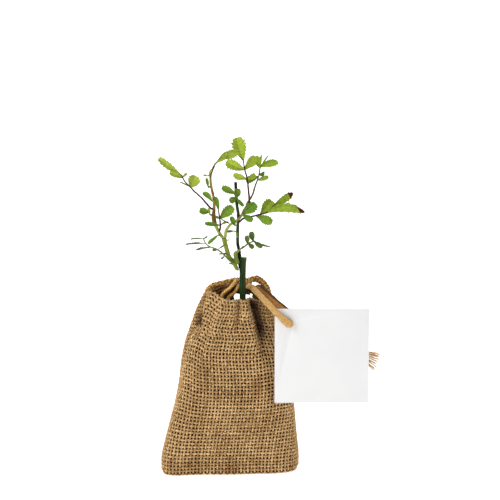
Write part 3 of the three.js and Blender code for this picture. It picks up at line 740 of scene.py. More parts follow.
def cloth_grid(sunk):
    """Points and normals of the cloth, sampled between threads: rows go from under the foot, up the
    outside, over the rim and down inside it."""
    columns = WARPS * STEPS_PER_THREAD
    table = thread_angles(columns)
    column = np.arange(columns)

    def angle_at(height):
        row = np.clip(height / TABLE_STEP, 0, len(table) - 1.001)
        low = row.astype(int)
        part = row - low
        return table[low, column] * (1 - part) + table[low + 1, column] * part

    rows = []
    pitch = RIM["middle"] / WEFTS / STEPS_PER_THREAD
    for under in np.arange(UNDER_ROWS, 0, -1) * pitch:
        rows.append(pouch_point(angle_at(np.zeros(columns)), CLOTH_FOOT, sunk + under))
    upright = WEFTS * STEPS_PER_THREAD
    for step in range(upright + 1):
        share = step / upright
        angle = angle_at(np.full(columns, share * RIM["middle"]))
        side = np.cos(angle)
        front = np.clip(-np.sin(angle), 0, 1)
        rise, fall = WEFT_SAG
        sag = math.sin(math.pi * share) ** 2 * (rise * np.clip(side, 0, 1) ** 2 - fall) * front
        height = CLOTH_FOOT + share * (rim_height(angle) - CLOTH_FOOT) + sag
        angle = angle_at(height)
        rows.append(pouch_point(angle, np.maximum(height, CLOTH_FOOT), sunk))
    for step in range(1, TURNED_IN_ROWS + 2):
        run = step * pitch
        turned = min(run / RIM_FOLD, math.pi)
        inwards = sunk + RIM_FOLD * (1 - math.cos(turned))
        rise = RIM_FOLD * math.sin(turned) - max(run - math.pi * RIM_FOLD, 0)
        rows.append(pouch_point(angle, height, inwards) + np.array([0, 0, rise]))
    points = np.stack(rows)
    down = np.gradient(points, axis=0)
    wrapped = np.concatenate([points[:, -1:], points, points[:, :1]], axis=1)
    round_it = (wrapped[:, 2:] - wrapped[:, :-2]) / 2
    normals = unit(np.cross(round_it, down))
    return points, normals, np.linalg.norm(round_it, axis=2) * STEPS_PER_THREAD


def in_slit(points):
    x, y, z = points[..., 0], points[..., 1], points[..., 2]
    return (y > 0) & (x > SLIT["left"]) & (x < SLIT["right"]) & (z > SLIT["low"]) & (z < SLIT["high"])


def runs_of(keep):
    """The unbroken stretches of a row of flags, as slices."""
    edges = np.flatnonzero(np.diff(np.concatenate([[0], keep.astype(int), [0]])))
    return [slice(a, b) for a, b in zip(edges[::2], edges[1::2]) if b - a > 1]


def weave(points, normals, pitches, seed, turned_in=0):
    """Warp and weft threads over and under each other, on a grid with STEPS_PER_THREAD samples a thread
    that closes on itself; the last turned_in rows lie inside the mouth. Every other thread goes to a
    second bundle, to keep each mesh light."""
    half_widest, half_thickness = size("thread_width") / 2, size("thread_thickness") / 2
    thread_rise = size("thread_rise")
    rows, columns = points.shape[:2]
    step = STEPS_PER_THREAD
    threads = {name: Bundle() for name in ("warp_0", "warp_1", "weft_0", "weft_1")}
    rng = np.random.default_rng(seed)
    wave = np.cos(math.pi * np.arange(max(rows, columns) + step) / step)
    # The rows inside the mouth lie two lower in lift, which the finish turns into painted shade.
    inside = np.where(np.arange(rows) > rows - 1 - turned_in, 2.0, 0.0)

    def lay(kind, k, line, normal, width, lift):
        """One thread of its own width and shade, broken off at the slit."""
        width = width * rng.uniform(*THREAD_ODDS)
        shade, run_from = rng.random(), k * THREAD_OFFSET[kind]
        bundle = threads[f"{kind}_{k // step % 2}"]
        for part in runs_of(~in_slit(line)):
            bundle.thread(line[part], normal[part], width[part], half_thickness, shade, run_from, lift[part])

    for k in range(0, columns, step):
        line, normal = points[:, k], normals[:, k]
        across = unit(points[:, (k + 1) % columns] - points[:, k - 1])
        over = wave[:rows] * (1 if (k // step) % 2 == 0 else -1)
        line = line + normal * (over * thread_rise)[:, None]
        line = line + across * (wander(rows, 9, seed + k) * THREAD_DRIFT["warp"] * pitches[:, k])[:, None]
        width = np.minimum(THREAD_SHARES["warp"] * pitches[:, k], half_widest)
        width = width * (1 + THREAD_SWELL * wander(rows, 4, seed + k + 7000))
        lay("warp", k, line, normal, width, over - inside)
    for k in range(0, rows, step):
        order = np.arange(columns + 1) % columns
        line, normal = points[k, order], normals[k, order]
        over = wave[:len(order)] * (-1 if (k // step) % 2 == 0 else 1)
        beside = points[min(k + 1, rows - 1), order] - points[max(k - 1, 0), order]
        length = np.linalg.norm(beside, axis=1, keepdims=True)
        drift = wander(columns, 11, seed + k + 3000, True)[order] * THREAD_DRIFT["weft"]
        line = line + normal * (over * thread_rise)[:, None] + beside / 2 * step * drift[:, None]
        width = min(THREAD_SHARES["weft"] * float(np.median(length)) / 2 * step, half_widest)
        width = width * (1 + THREAD_SWELL * wander(columns, 4, seed + k + 9000, True)[order])
        lay("weft", k, line, normal, width, over - inside[k])
    return threads


# ---- Finishes ----
class Wire:
    """A socket that takes part in sums: wire * 2 + other adds the Math nodes."""

    def __init__(self, finish, socket):
        self.finish = finish
        self.socket = socket

    def math(self, operation, *terms):
        return self.finish.node("ShaderNodeMath", {"operation": operation}, dict(enumerate(terms)))

    def __add__(self, other):
        return self.math("ADD", self, other)

    def __radd__(self, other):
        return self.math("ADD", other, self)

    def __sub__(self, other):
        return self.math("SUBTRACT", self, other)

    def __rsub__(self, other):
        return self.math("SUBTRACT", other, self)

    def __mul__(self, other):
        return self.math("MULTIPLY", self, other)

    def __rmul__(self, other):
        return self.math("MULTIPLY", other, self)

    def __abs__(self):
        return self.math("ABSOLUTE", self)

    def sine(self):
        return self.math("SINE", self)

    def fraction(self):
        return self.math("FRACT", self)


class Finish:
    """One material: its nodes, and the Principled shader that they feed."""

    def __init__(self, name, **constants):
        self.material = bpy.data.materials.new(name)
        self.material.use_nodes = True
        self.tree = self.material.node_tree
        self.shader = self.tree.nodes["Principled BSDF"]
        for socket, value in constants.items():
            self.shader.inputs[socket.replace("_", " ").title().replace("Ior", "IOR")].default_value = value

    def node(self, kind, settings=None, inputs=None, out=0):
        made = self.tree.nodes.new(kind)
        for key, value in (settings or {}).items():
            if key == "stops":
                self.set_stops(made.color_ramp, value)
            else:
                setattr(made, key, value)
        for key, value in (inputs or {}).items():
            self.feed(made.inputs[key], value)
        return Wire(self, made.outputs[out])

    def feed(self, socket, value):
        if isinstance(value, Wire):
            self.tree.links.new(value.socket, socket)
        else:
            socket.default_value = value

    @staticmethod
    def set_stops(ramp, stops):
        ramp.elements.new(0.5)
        for element, (position, tint) in zip(ramp.elements, stops):
            element.position = position
            element.color = (*tint, 1)

    def place(self):
        """Where a point is on the object, in millimetres."""
        at = self.node("ShaderNodeTexCoord", out="Object")
        return self.node("ShaderNodeVectorMath", {"operation": "SCALE"}, {0: at, "Scale": 1 / MM})

    def parts(self, vector):
        return [self.node("ShaderNodeSeparateXYZ", None, {0: vector}, out=k) for k in range(3)]

    def joined(self, x, y, z):
        return self.node("ShaderNodeCombineXYZ", None, {0: x, 1: y, 2: z})

    def uv(self):
        return self.parts(self.node("ShaderNodeUVMap", {"uv_map": "UVMap"}))[:2]

    def own(self, attribute):
        """A number that each tube of a Bundle carries: "strand" or "lift"."""
        return self.node("ShaderNodeAttribute", {"attribute_name": attribute}, out="Fac")

    def noise(self, vector, scale, detail=3.0, roughness=0.6):
        return self.node("ShaderNodeTexNoise", None, {
            "Vector": vector, "Scale": scale, "Detail": detail, "Roughness": roughness})

    def band(self, value, low, high):
        """0 below low, 1 above high, smooth between; falls where low is above high."""
        return self.node("ShaderNodeMapRange", {"interpolation_type": "SMOOTHSTEP"}, {
            0: value, 1: low, 2: high, 3: 0.0, 4: 1.0})

    def between(self, value, start, rise, fall, stop):
        """1 from rise to fall, fading to 0 at start and at stop."""
        return self.band(value, start, rise) * self.band(value, stop, fall)

    def mix(self, share, a, b):
        solid = [c if isinstance(c, Wire) else (*c, 1) for c in (a, b)]
        return self.node("ShaderNodeMix", {"data_type": "RGBA"}, {0: share, 6: solid[0], 7: solid[1]}, out=2)

    def ramp(self, share, dark, middle, light):
        stops = [(0.0, dark), (0.5, middle), (1.0, light)]
        return self.node("ShaderNodeValToRGB", {"stops": stops}, {0: share})

    def paint(self, base, roughness=None, height=None, depth=0.1):
        """Feeds the shader: its colour, its roughness, and a relief of that depth in millimetres."""
        self.feed(self.shader.inputs["Base Color"], base)
        if roughness is not None:
            self.feed(self.shader.inputs["Roughness"], roughness)
        if height is not None:
            bump = self.node("ShaderNodeBump", None, {
                "Strength": 1.0, "Distance": depth * MM, "Height": height})
            self.feed(self.shader.inputs["Normal"], bump)
        return self.material


def thread_finish(name, tints, stains_and_painted_shade=False):
    """Spun jute: fibres run along the thread, with painted shade down its sides, where it dips under another
    and on the rows turned inside the mouth. Its last flag adds stains in patches, and painted shade in the
    crease and in the pocket of the neck."""
    f = Finish(name, specular_ior_level=0.2)
    along, turn = f.uv()
    own, lift, at = f.own("strand"), f.own("lift"), f.place()
    fibres = f.noise(f.joined(along * 0.45, turn * 9.0 + along * 0.22, own * 31.0), 1.0, 4.0, 0.7)
    clumps = f.noise(f.joined(along * 0.3, own * 57.0, 0.0), 1.0, 2.0, 0.5)
    patches = f.noise(at, 0.045, 3.0, 0.55)
    tone = f.band(fibres * 0.95 + clumps * 0.2 + own * 0.05 + patches * 0.2, 0.53, 0.89)
    base = f.ramp(tone, *tints)
    # Painted shade: the thread's sides and the stretches where it dips under another are darkened.
    painted_flank_shade, painted_under_shade = f.band(abs(turn - 0.25), 0.1, 0.27), f.band(lift, 0.1, -0.9)
    base = f.mix(painted_flank_shade * 0.7 + painted_under_shade * 0.38, base, scaled(tints[0], 0.3))
    # Painted shade on the rows turned inside the mouth, whose lift lies below -1.
    base = f.mix(f.band(lift, -0.95, -1.6) * 0.85, base, colour(MOUTH_SHADE))
    if stains_and_painted_shade:
        x, y, z = f.parts(at)
        spot_x, spot_y, spot_z = STAIN_SPOT
        fold_z, fold_x = CREASES[0]["low"]
        low_stain = f.band(z, 26.0, 2.0) * f.band(f.noise(at, 0.12, 3.0, 0.6), 0.52, 0.66)
        from_spot = f.joined(x - spot_x, (y - spot_y) * 0.3, (z - spot_z) * 0.42)
        distance = f.node("ShaderNodeVectorMath", {"operation": "LENGTH"}, {0: from_spot}, "Value")
        base = f.mix(low_stain * 0.5 + f.band(distance, 4.4, 1.0) * 0.45, base, colour(STAIN))
        # Painted shade: the deep crease and the pocket of the neck are darkened where shade falls in them.
        beside = x - fold_x + (z - fold_z) * 0.25
        crease = f.between(beside, -1.6, 0.6, 3.0, 10.0) * f.between(z, 86.0, 100.0, 116.0, 126.0)
        pocket = f.between(x, -25.5, -24.0, -16.5, -13.5) * f.between(z, 99.5, 102.5, 107.0, 109.5)
        pocket = pocket * f.band(y, -13.0, -11.0)
        fold_shade_mask = (crease * 0.95 + pocket * 0.9) * f.band(y, -1.0, -5.0)
        base = f.mix(fold_shade_mask, base, colour(PAINTED_FOLD_SHADE))
    return f.paint(base, 0.95 - 0.2 * fibres, fibres, 0.16)


def cloth_finish(name, tints, pitch):
    """Burlap whose weave is in its relief: threads cross along and round the piece."""
    f = Finish(name, roughness=0.95, specular_ior_level=0.2)
    along, turn = f.uv()
    at = f.place()
    rows = (along * (2 * math.pi / pitch)).sine()
    lines = (turn * (2 * math.pi * 6)).sine()
    height = rows * lines * 0.35 + f.noise(at, 1.6, 4.0, 0.7)
    tone = f.band(height * 0.8 + f.noise(at, 0.16, 2.0, 0.5) * 0.5, 0.25, 1.05)
    return f.paint(f.ramp(tone, *tints), None, height, 0.5)


def cord_finish(name, tints, dark_edge=False):
    """Soft brushed jute: fine lengthwise fibres and small dark flecks. With dark_edge, the rear tail is
    darker along its upper edge."""
    f = Finish(name, roughness=0.9, specular_ior_level=0.2)
    along, turn = f.uv()
    at = f.place()
    fibres = f.noise(f.joined(along * 0.5, turn * 14.0, 0.0), 1.0, 4.0, 0.7)
    nap = f.noise(at, 1.1, 4.0, 0.7)
    pile = fibres * 0.6 + nap * 0.6
    flecks = f.band(f.noise(at, 1.9, 2.0, 0.5), 0.66, 0.74)
    base = f.mix(flecks * 0.55, f.ramp(f.band(pile, 0.42, 0.82), *tints), colour(CORD_FLECK))
    if dark_edge:
        x, _, z = f.parts(at)
        edge_x, _, edge_z = REAR_TAIL[1]
        above = (x - edge_x) * 0.53 + (z - edge_z) * 0.848
        # Darker along the rear tail's upper edge.
        base = f.mix(f.band(above, 0.7, 1.5) * f.band(x, 60.0, 52.0) * 0.85, base, colour(DARK_UPPER_EDGE))
    return f.paint(base, None, pile, 0.35)


def soil_finish(name, tints):
    """Moist peat: dark grains, with drier crumbs among them."""
    f = Finish(name, roughness=1.0, specular_ior_level=0.05)
    at = f.place()
    grains = f.noise(at, 0.9, 5.0, 0.7)
    clods = f.noise(at, 0.25, 2.0, 0.5)
    base = f.mix(f.band(grains * 0.6 + clods * 0.6, 0.45, 0.78), tints[0], tints[1])
    return f.paint(base, None, grains, 0.9)


def card_finish(name, tint):
    """Uncoated board: a faint cloud of tone and the tooth of the paper."""
    f = Finish(name, specular_ior_level=0.1)
    at = f.place()
    tooth = f.noise(at, 3.2, 3.0, 0.6)
    clouds = f.noise(at, 0.05, 2.0, 0.5)
    base = f.mix(f.band(tooth * 0.5 + clouds * 0.5, 0.4, 0.62), scaled(tint, 0.975), tint)
    return f.paint(base, 0.7 + 0.15 * tooth, tooth, 0.02)


def bark_finish(name, base_tint, streak_tint, roughness=0.5, marks=()):
    """Young bark: fine streaks along the stem and small raised pores, and marks, which are bands of
    another tint between two heights."""
    f = Finish(name, specular_ior_level=0.2)
    along, turn = f.uv()
    streaks = f.noise(f.joined(along * 0.14, turn * 11.0, 0.0), 1.0, 4.0, 0.65)
    pores = f.band(f.noise(f.joined(along * 1.1, turn * 5.0, 3.0), 1.0, 1.0, 0.4), 0.68, 0.78)
    z = f.parts(f.place())[2]
    base = f.mix(f.band(streaks, 0.36, 0.66), base_tint, streak_tint)
    for low, high, tint, share in marks:
        soft = min(0.9, (high - low) * 0.35)
        here = f.between(z, low - soft, low + soft, high - soft, high + soft)
        base = f.mix(here * share, base, colour(tint))
    base = f.mix(pores * 0.5, base, scaled(base_tint, 0.55))
    return f.paint(base, roughness + 0.12 * streaks, streaks + pores * 0.5, 0.14)


def trunk_finish(name, tints):
    """The pruned stem: dark green and ridged, with a painted grey highlight on the ridges of its right side,
    a black scar where the leader leaves it and pale wood on its cut."""
    f = Finish(name, specular_ior_level=0.15)
    along, turn = f.uv()
    ridges = f.noise(f.joined(along * 0.05, turn * 13.0, 0.0), 1.0, 3.0, 0.6)
    at = f.place()
    x, _, z = f.parts(at)
    base = f.mix(f.band(ridges, 0.35, 0.66), *tints)
    # Painted highlight: grey on the ridges down the stem's right side.
    base = f.mix(f.band(x, 9.4, 10.6) * f.band(ridges, 0.35, 0.55) * 0.6, base, colour(PAINTED_TRUNK_HIGHLIGHT))
    scarred = f.band(x + 0.5 * f.noise(at, 0.8), 7.9, 6.7) * f.band(z, 137.0, 140.0)
    base = f.mix(scarred, base, colour(BARK_SCAR))
    cut = f.band(z, 147.6, 147.9) * f.band(x, 7.4, 7.8)
    base = f.mix(cut, base, colour(CUT_WOOD))
    return f.paint(base, 0.6 + 0.25 * ridges, ridges, 0.3)


def leaf_finish(name, blade, vein):
    """A blade with a paler midrib and side veins, a little mottled, with painted light on one half of its
    fold.
    """
    f = Finish(name, specular_ior_level=0.15)
    across, along = f.uv()
    side = abs(across - 0.5)
    midrib = f.band(side, 0.055, 0.015)
    rows = (along * TEETH - side * 1.9 + 0.5).fraction()
    veins = f.band(abs(rows - 0.5), 0.1, 0.03) * f.band(side, 0.49, 0.4)
    mottle = f.noise(f.place(), 0.55, 3.0, 0.6)
    # Painted light: one half of the folded blade is made lighter than the other.
    painted_light_half, tipwards = f.band(across, 0.35, 0.65), f.band(along, 0.05, 0.6)
    tone = f.band(mottle, 0.28, 0.72) * 0.45 + painted_light_half * 0.35 + tipwards * 0.2
    base = f.mix(tone, scaled(blade, 0.55), scaled(blade, 1.35))
    base = f.mix(f.band(side, 0.4, 0.49) * 0.5, base, scaled(blade, 0.5))
    beside_veins = f.band(abs(rows - 0.2), 0.2, 0.05) * f.band(side, 0.45, 0.3)
    base = f.mix(beside_veins * 0.3, base, scaled(blade, 0.45))
    base = f.mix(midrib * 0.55 + veins * 0.2, base, vein)
    return f.paint(base, 0.5 + 0.2 * mottle, mottle - veins * 0.4 - midrib * 0.6, 0.2)


# ---- What a user may change ----
def tint_property(label, description, code):
    return FloatVectorProperty(name=label, description=description, default=colour(code), size=3,
                               subtype="COLOR", min=0, max=1)


def length_property(label, description, default, lowest, highest):
    """A length whose default and limits are given in millimetres."""
    return FloatProperty(name=label, description=description, default=default * MM, min=lowest * MM,
                         max=highest * MM, precision=5, unit="LENGTH")


class SaplingSizes(bpy.types.PropertyGroup):
    thread_width: length_property("Thread Width", "Widest that a burlap thread lies", 1.6, 0.6, 2.4)
    thread_thickness: length_property("Thread Thickness", "Height of a burlap thread", 1.05, 0.3, 1.4)
    thread_rise: length_property("Thread Rise", "How far a thread goes over and under", 0.42, 0.1, 0.8)
    cloth_sunk: length_property("Cloth Sunk", "The cloth's middle under the pouch's outline", 0.75, 0, 2)
    blade_thickness: length_property("Blade Thickness", "Thickness of a leaf's blade", 0.2, 0.05, 0.5)
    tooth_depth: FloatProperty(name="Tooth Depth", description="Notches in a leaf's edge, as a share of it",
                               default=0.34, min=0, max=0.5, subtype="FACTOR")
    loose_hairs: IntProperty(name="Loose Hairs", description="Stray fibres that stand off the burlap",
                             default=1500, min=0, max=6000)
    crumbs: IntProperty(name="Soil Crumbs", description="Loose crumbs on top of the root ball",
                        default=320, min=0, max=2000)


class SaplingColours(bpy.types.PropertyGroup):
    burlap_dark: tint_property("Burlap, Dark", "The shaded and soiled fibres", "#7c5832")
    burlap: tint_property("Burlap", "The burlap's middle tone", "#c79f69")
    burlap_light: tint_property("Burlap, Light", "The bleached fibres", "#f2cd98")
    cord_dark: tint_property("Cord, Dark", "The drawstring's shaded fibres", "#a87f48")
    cord: tint_property("Cord", "The drawstring's middle tone", "#c69c60")
    cord_light: tint_property("Cord, Light", "The drawstring's bright fibres", "#dcb87e")
    tassel: tint_property("Tassel", "The drawstring's frayed end", "#e0b478")
    card: tint_property("Card", "The blank card", "#e3e3e3")
    soil_dark: tint_property("Soil, Dark", "Moist peat", "#100903")
    soil: tint_property("Soil", "Dry crumbs of peat", "#2c1a0b")
    trunk: tint_property("Trunk", "The pruned stem", "#1d2e14")
    trunk_light: tint_property("Trunk, Light", "The pruned stem's ridges", "#345022")
    green_shoot: tint_property("Green Shoot", "The young main shoot", "#7f882c")
    bright: tint_property("Bright Leaf", "The youngest leaves at the top", "#91a530")
    lime: tint_property("Lime Leaf", "The yellow-green leaves at the left", "#9aaa3c")
    fresh: tint_property("Fresh Leaf", "The upper leaves", "#889f2c")
    leafy: tint_property("Leaf", "The middle leaves", "#6c8b24")
    dark: tint_property("Dark Leaf", "The leaves in the crown's heart", "#5a7f1e")
    olive: tint_property("Olive Leaf", "The lower right leaves", "#5e7233")
    grey: tint_property("Grey Leaf", "The lower left leaves, seen on edge", "#5e6e38")
    red: tint_property("Red Stalk", "Leaf stalks and edges in the sun", "#541a12")


def user_sizes():
    return bpy.context.scene.sapling_sizes


def size(name):
    """One of the user's lengths, in millimetres."""
    return getattr(user_sizes(), name) / MM


def tints(*names):
    held = bpy.context.scene.sapling_colours
    return [tuple(getattr(held, name)) for name in names]


def burlap_tints():
    return tints("burlap_dark", "burlap", "burlap_light")


# ---- Operators ----
class SAPLING_OT_root_ball(bpy.types.Operator):
    """Fills the pouch with a crumbly ball of peat"""
    bl_idname = "sapling.root_ball"
    bl_label = "Root Ball"

    def execute(self, context):
        finish = soil_finish("peat", tints("soil_dark", "soil"))
        ball = primitive(bpy.ops.mesh.primitive_uv_sphere_add, "root_ball_peat",
                         segments=144, ring_count=92, radius=1)
        foot, inset, shoulder = 2.1, 2.35, 3.0
        side_from, side_to = -0.8, 0.6  # heights on the sphere that become the ball's wall
        middle = np.array([BALL_MIDDLE, 0])

        def position(old):
            level = np.arcsin(np.clip(old[:, 2], -1, 1)) / (math.pi / 2)
            angle = np.arctan2(old[:, 1], old[:, 0])
            up = np.clip((level - side_from) / (side_to - side_from), 0, 1)
            height = lerp(foot, SOIL_LEVEL - shoulder, up)
            wall = pouch_point(angle, height, inset)
            below = np.clip((level + 1) / (side_from + 1), 0, 1)
            above = np.clip((1 - level) / (1 - side_to), 0, 1)
            spread = np.where(level < side_from, below, np.where(level > side_to, above, 1))
            heap = shoulder * (1 - above) ** 0.5 * (level > side_to)
            flat = middle + (wall[:, :2] - middle) * spread[:, None]
            return np.column_stack([flat, height + heap])

        place(ball, position)
        mesh = ball.data
        for vertex in mesh.vertices:
            at = vertex.co / MM
            lump = noise.noise(at * 0.22) * 0.9 + noise.noise(at * 0.7) * 0.45
            on_top = max(0.0, min((at.z - SOIL_LEVEL + shoulder) / 2, 1.0))
            vertex.co.z += on_top * (lump * 1.3 - 1.2) * MM
            if at.z > foot + 1:
                outwards = Vector((at.x - BALL_MIDDLE, at.y, 0)).normalized()
                vertex.co += outwards * min(lump, 0) * 0.5 * MM
        in_edit(ball, merge_doubles, outward)
        finish_piece(ball, finish, "soil", "root_ball")
        self.scatter_crumbs(finish)
        return {"FINISHED"}

    def scatter_crumbs(self, finish):
        """Small lumps of peat that lie half sunk in the top of the ball."""
        rng = random.Random(11)
        spread, inset, level, radii = 0.93, 4.2, (103.6, 1.1), (0.35, 1.15)
        whole = bmesh.new()
        mesh = bpy.data.meshes.new("soil_crumbs")
        for _ in range(user_sizes().crumbs):
            angle, share = rng.uniform(0, 2 * math.pi), math.sqrt(rng.random()) * spread
            edge = pouch_point(np.array(angle), 102.0, inset)
            height = level[0] + rng.uniform(0, level[1])
            at = Vector((lerp(BALL_MIDDLE, edge[0], share), edge[1] * share, height))
            crumb = bmesh.new()
            bmesh.ops.create_icosphere(crumb, subdivisions=1, radius=rng.uniform(*radii))
            for vertex in crumb.verts:
                vertex.co *= 1 + 0.35 * noise.noise(vertex.co * 1.7 + at)
                vertex.co = (vertex.co + at) * MM
            crumb.to_mesh(mesh)
            whole.from_mesh(mesh)
            crumb.free()
        whole.to_mesh(mesh)
        whole.free()
        finish_piece(linked("soil_crumbs", mesh), finish, "soil", smooth_shading=False)


class SAPLING_OT_pouch(bpy.types.Operator):
    """Weaves the pouch from warp and weft threads, with its base, its inner facing and loose hairs"""
    bl_idname = "sapling.pouch"
    bl_label = "Burlap Pouch"

    def execute(self, context):
        shades = burlap_tints()
        threads = thread_finish("burlap_threads", shades, stains_and_painted_shade=True)
        grid = cloth_grid(size("cloth_sunk"))
        for name, bundle in weave(*grid, seed=100, turned_in=TURNED_IN_ROWS).items():
            finish_piece(bundle.build(f"pouch_{name}"), threads, "burlap", "pouch")
        # Painted shade: the facing inside the neck and the base take the burlap's tints darkened to 0.3.
        inner = cloth_finish("burlap_inside", [scaled(shade, 0.3) for shade in shades], 2.6)
        self.line_neck(inner)
        self.close_base(inner)
        self.stand_hairs(grid, threads)
        return {"FINISHED"}

    def line_neck(self, finish):
        """The facing: the cloth's edge turned down inside the neck, open at the cord's slit."""
        around, foot, inset, under_rim = 160, 103.5, 2.15, 0.9
        facing = primitive(bpy.ops.mesh.primitive_grid_add, "neck_facing",
                           x_subdivisions=around, y_subdivisions=14, size=1)

        def position(old):
            angle = (old[:, 0] + 0.5) * 2 * math.pi + BACK_SEAM
            share = old[:, 1] + 0.5
            height = lerp(foot, rim_height(angle) - under_rim, share)
            return pouch_point(angle, height, inset + 0.5 * np.sin(angle * 13) * (1 - share))

        place(facing, position)
        hold(facing)
        bpy.ops.object.mode_set(mode="EDIT")
        mesh = bmesh.from_edit_mesh(facing.data)
        for face in mesh.faces:
            face.select_set(bool(in_slit(np.array(face.calc_center_median()) / MM)))
        bmesh.update_edit_mesh(facing.data)
        bpy.ops.mesh.delete(type="FACE")
        bpy.ops.object.mode_set(mode="OBJECT")
        in_edit(facing, merge_doubles)
        for loop in facing.data.uv_layers.active.data:
            loop.uv = (loop.uv[0] * around, loop.uv[1])
        apply_modifier(facing, "SOLIDIFY", thickness=0.5 * MM, offset=0)
        in_edit(facing, outward)
        finish_piece(facing, finish, "burlap", "pouch")

    def close_base(self, finish):
        """The cloth under the root ball, its edge under the ends of the warp."""
        rings, inset, level = 6, 4.0, 1.0
        base = primitive(bpy.ops.mesh.primitive_circle_add, "pouch_base",
                         vertices=120, radius=1, fill_type="NGON")
        bpy.ops.object.mode_set(mode="EDIT")
        for _ in range(rings):
            bpy.ops.mesh.inset(thickness=0.15)
        bpy.ops.mesh.poke()
        bpy.ops.object.mode_set(mode="OBJECT")

        def position(old):
            angle = np.arctan2(old[:, 1], old[:, 0])
            share = np.hypot(old[:, 0], old[:, 1])
            edge = pouch_point(angle, CLOTH_FOOT, inset)
            return np.column_stack([edge[:, :2] * share[:, None], np.full(len(old), level)])

        place(base, position)
        apply_modifier(base, "SOLIDIFY", thickness=0.8 * MM, offset=0)
        in_edit(base, outward)
        finish_piece(base, finish, "burlap", "pouch", smooth_shading=False)

    def stand_hairs(self, grid, finish):
        """Fine fibres that lean off the cloth, none of them near its edges."""
        points, normals, _ = grid
        rng = np.random.default_rng(5)
        hairs = Bundle()
        radius, lengths = 0.055, (1.2, 4.5)
        t = np.linspace(0, 1, 5)[:, None]
        for _ in range(user_sizes().loose_hairs):
            row, column = rng.integers(12, len(points) - 9), rng.integers(points.shape[1])
            foot, normal = points[row, column], normals[row, column]
            if in_slit(foot):
                continue
            lean = rng.standard_normal(3)
            lean = lean - normal * np.dot(lean, normal)
            reach = rng.uniform(*lengths) * (0.6 + 0.4 * rng.random())
            out = normal * (0.35 + 1.1 * t * (1.25 - t)) + lean * 0.42 * t
            curl = rng.standard_normal(3) * 0.22 * t**2
            centres = foot + out * reach * 0.5 + curl
            facing = np.tile(normal, (len(t), 1))
            hairs.thread(centres, facing, radius, radius, rng.uniform(0.5, 1.0), sides=4)
        finish_piece(hairs.build("burlap_hairs"), finish, "burlap", "pouch")


class SAPLING_OT_hem(bpy.types.Operator):
    """Rolls the hem along the back of the mouth and out into its loop, with the gathers under it"""
    bl_idname = "sapling.hem"
    bl_label = "Rolled Hem"

    def execute(self, context):
        shades = burlap_tints()
        roll = self.hem_path()
        self.roll_hem(roll, thread_finish("hem_threads", warmed(shades, HEM_WARMTH)))
        # Painted light: the gathers and the hem's core take a warmer and much lighter copy of the burlap.
        inner = cloth_finish("gathered_burlap", warmed(shades, GATHER_WARMTH_AND_LIGHT), 2.4)

        def core_section(t):
            return (lerp(0.3, 1.05, smooth(t, 0, 0.14)),) * 2

        core = bent_rod("hem_core", roll, 16, 70, core_section)
        finish_piece(core, inner, "burlap", "pouch_hem")

        def puckers(t, turn):
            return 1 + 0.09 * np.sin(turn * 5 + t * 9)

        for number, (points, radius) in enumerate(MOUTH_FOLDS, 1):
            def section(t, radius=radius):
                belly = 0.55 + 0.45 * np.sin(math.pi * np.clip(t * 0.9 + 0.1, 0, 1))
                return radius * belly, t * 0 + radius * 0.45

            fold = bent_rod(f"mouth_gather_{number}", Path(points), 20, 26, section, relief=puckers)
            finish_piece(fold, inner, "burlap", "pouch_hem")
        return {"FINISHED"}

    def hem_path(self):
        """Along the rim from the left, clockwise past the back, and on into the loop."""
        points = []
        for degrees in range(*HEM_ARC):
            angle = np.array(math.radians(degrees))
            inwards = lerp(WALL / 2, 3.2, smooth(degrees, 140, 190))
            at = pouch_point(angle, float(rim_height(angle)), inwards, gathered=0)
            clear = lerp(GAP + HEM_RADIUS - 0.1, 0.3, smooth(degrees, 150, 200))
            points.append(at + np.array([0, 0, clear]))
        return Path([*points, *HEM_LOOP])

    def roll_hem(self, path, finish):
        """The hem's own weave, wrapped round its roll and slowly twisted."""
        around, pitch = 4, 2.3  # threads round the roll, an even count, and from one to the next along it
        columns = around * STEPS_PER_THREAD
        rows = int(path.length / pitch) * STEPS_PER_THREAD + 1
        share = np.linspace(0, 1, rows)
        along = path.along(share)
        across = unit(np.cross(along, np.array([0.3, 1.0, 0.2])))
        towards = np.cross(along, across)
        turn = np.arange(columns) * 2 * math.pi / columns + share[:, None] * HEM_ROLL["twist"]
        radius = HEM_ROLL["radius"] + HEM_ROLL["ripple"] * np.sin(turn * 2 + share[:, None] * 14)
        swell = lerp(1, 1.3, smooth(share, 0.48, 0.62)) * lerp(1, 0.72, smooth(share, 0.78, 0.95))
        radius = radius * (swell * lerp(0.2, 1, smooth(share, 0, 0.22)))[:, None]
        out = across[:, None] * np.cos(turn)[..., None] + towards[:, None] * np.sin(turn)[..., None]
        points = path.at(share)[:, None] + out * radius[..., None]
        woven = weave(points, out, np.full(points.shape[:2], 2.1), seed=400)
        hem = join([bundle.build(f"hem_{name}") for name, bundle in woven.items()], "hem_roll")
        finish_piece(hem, finish, "burlap", "pouch_hem")


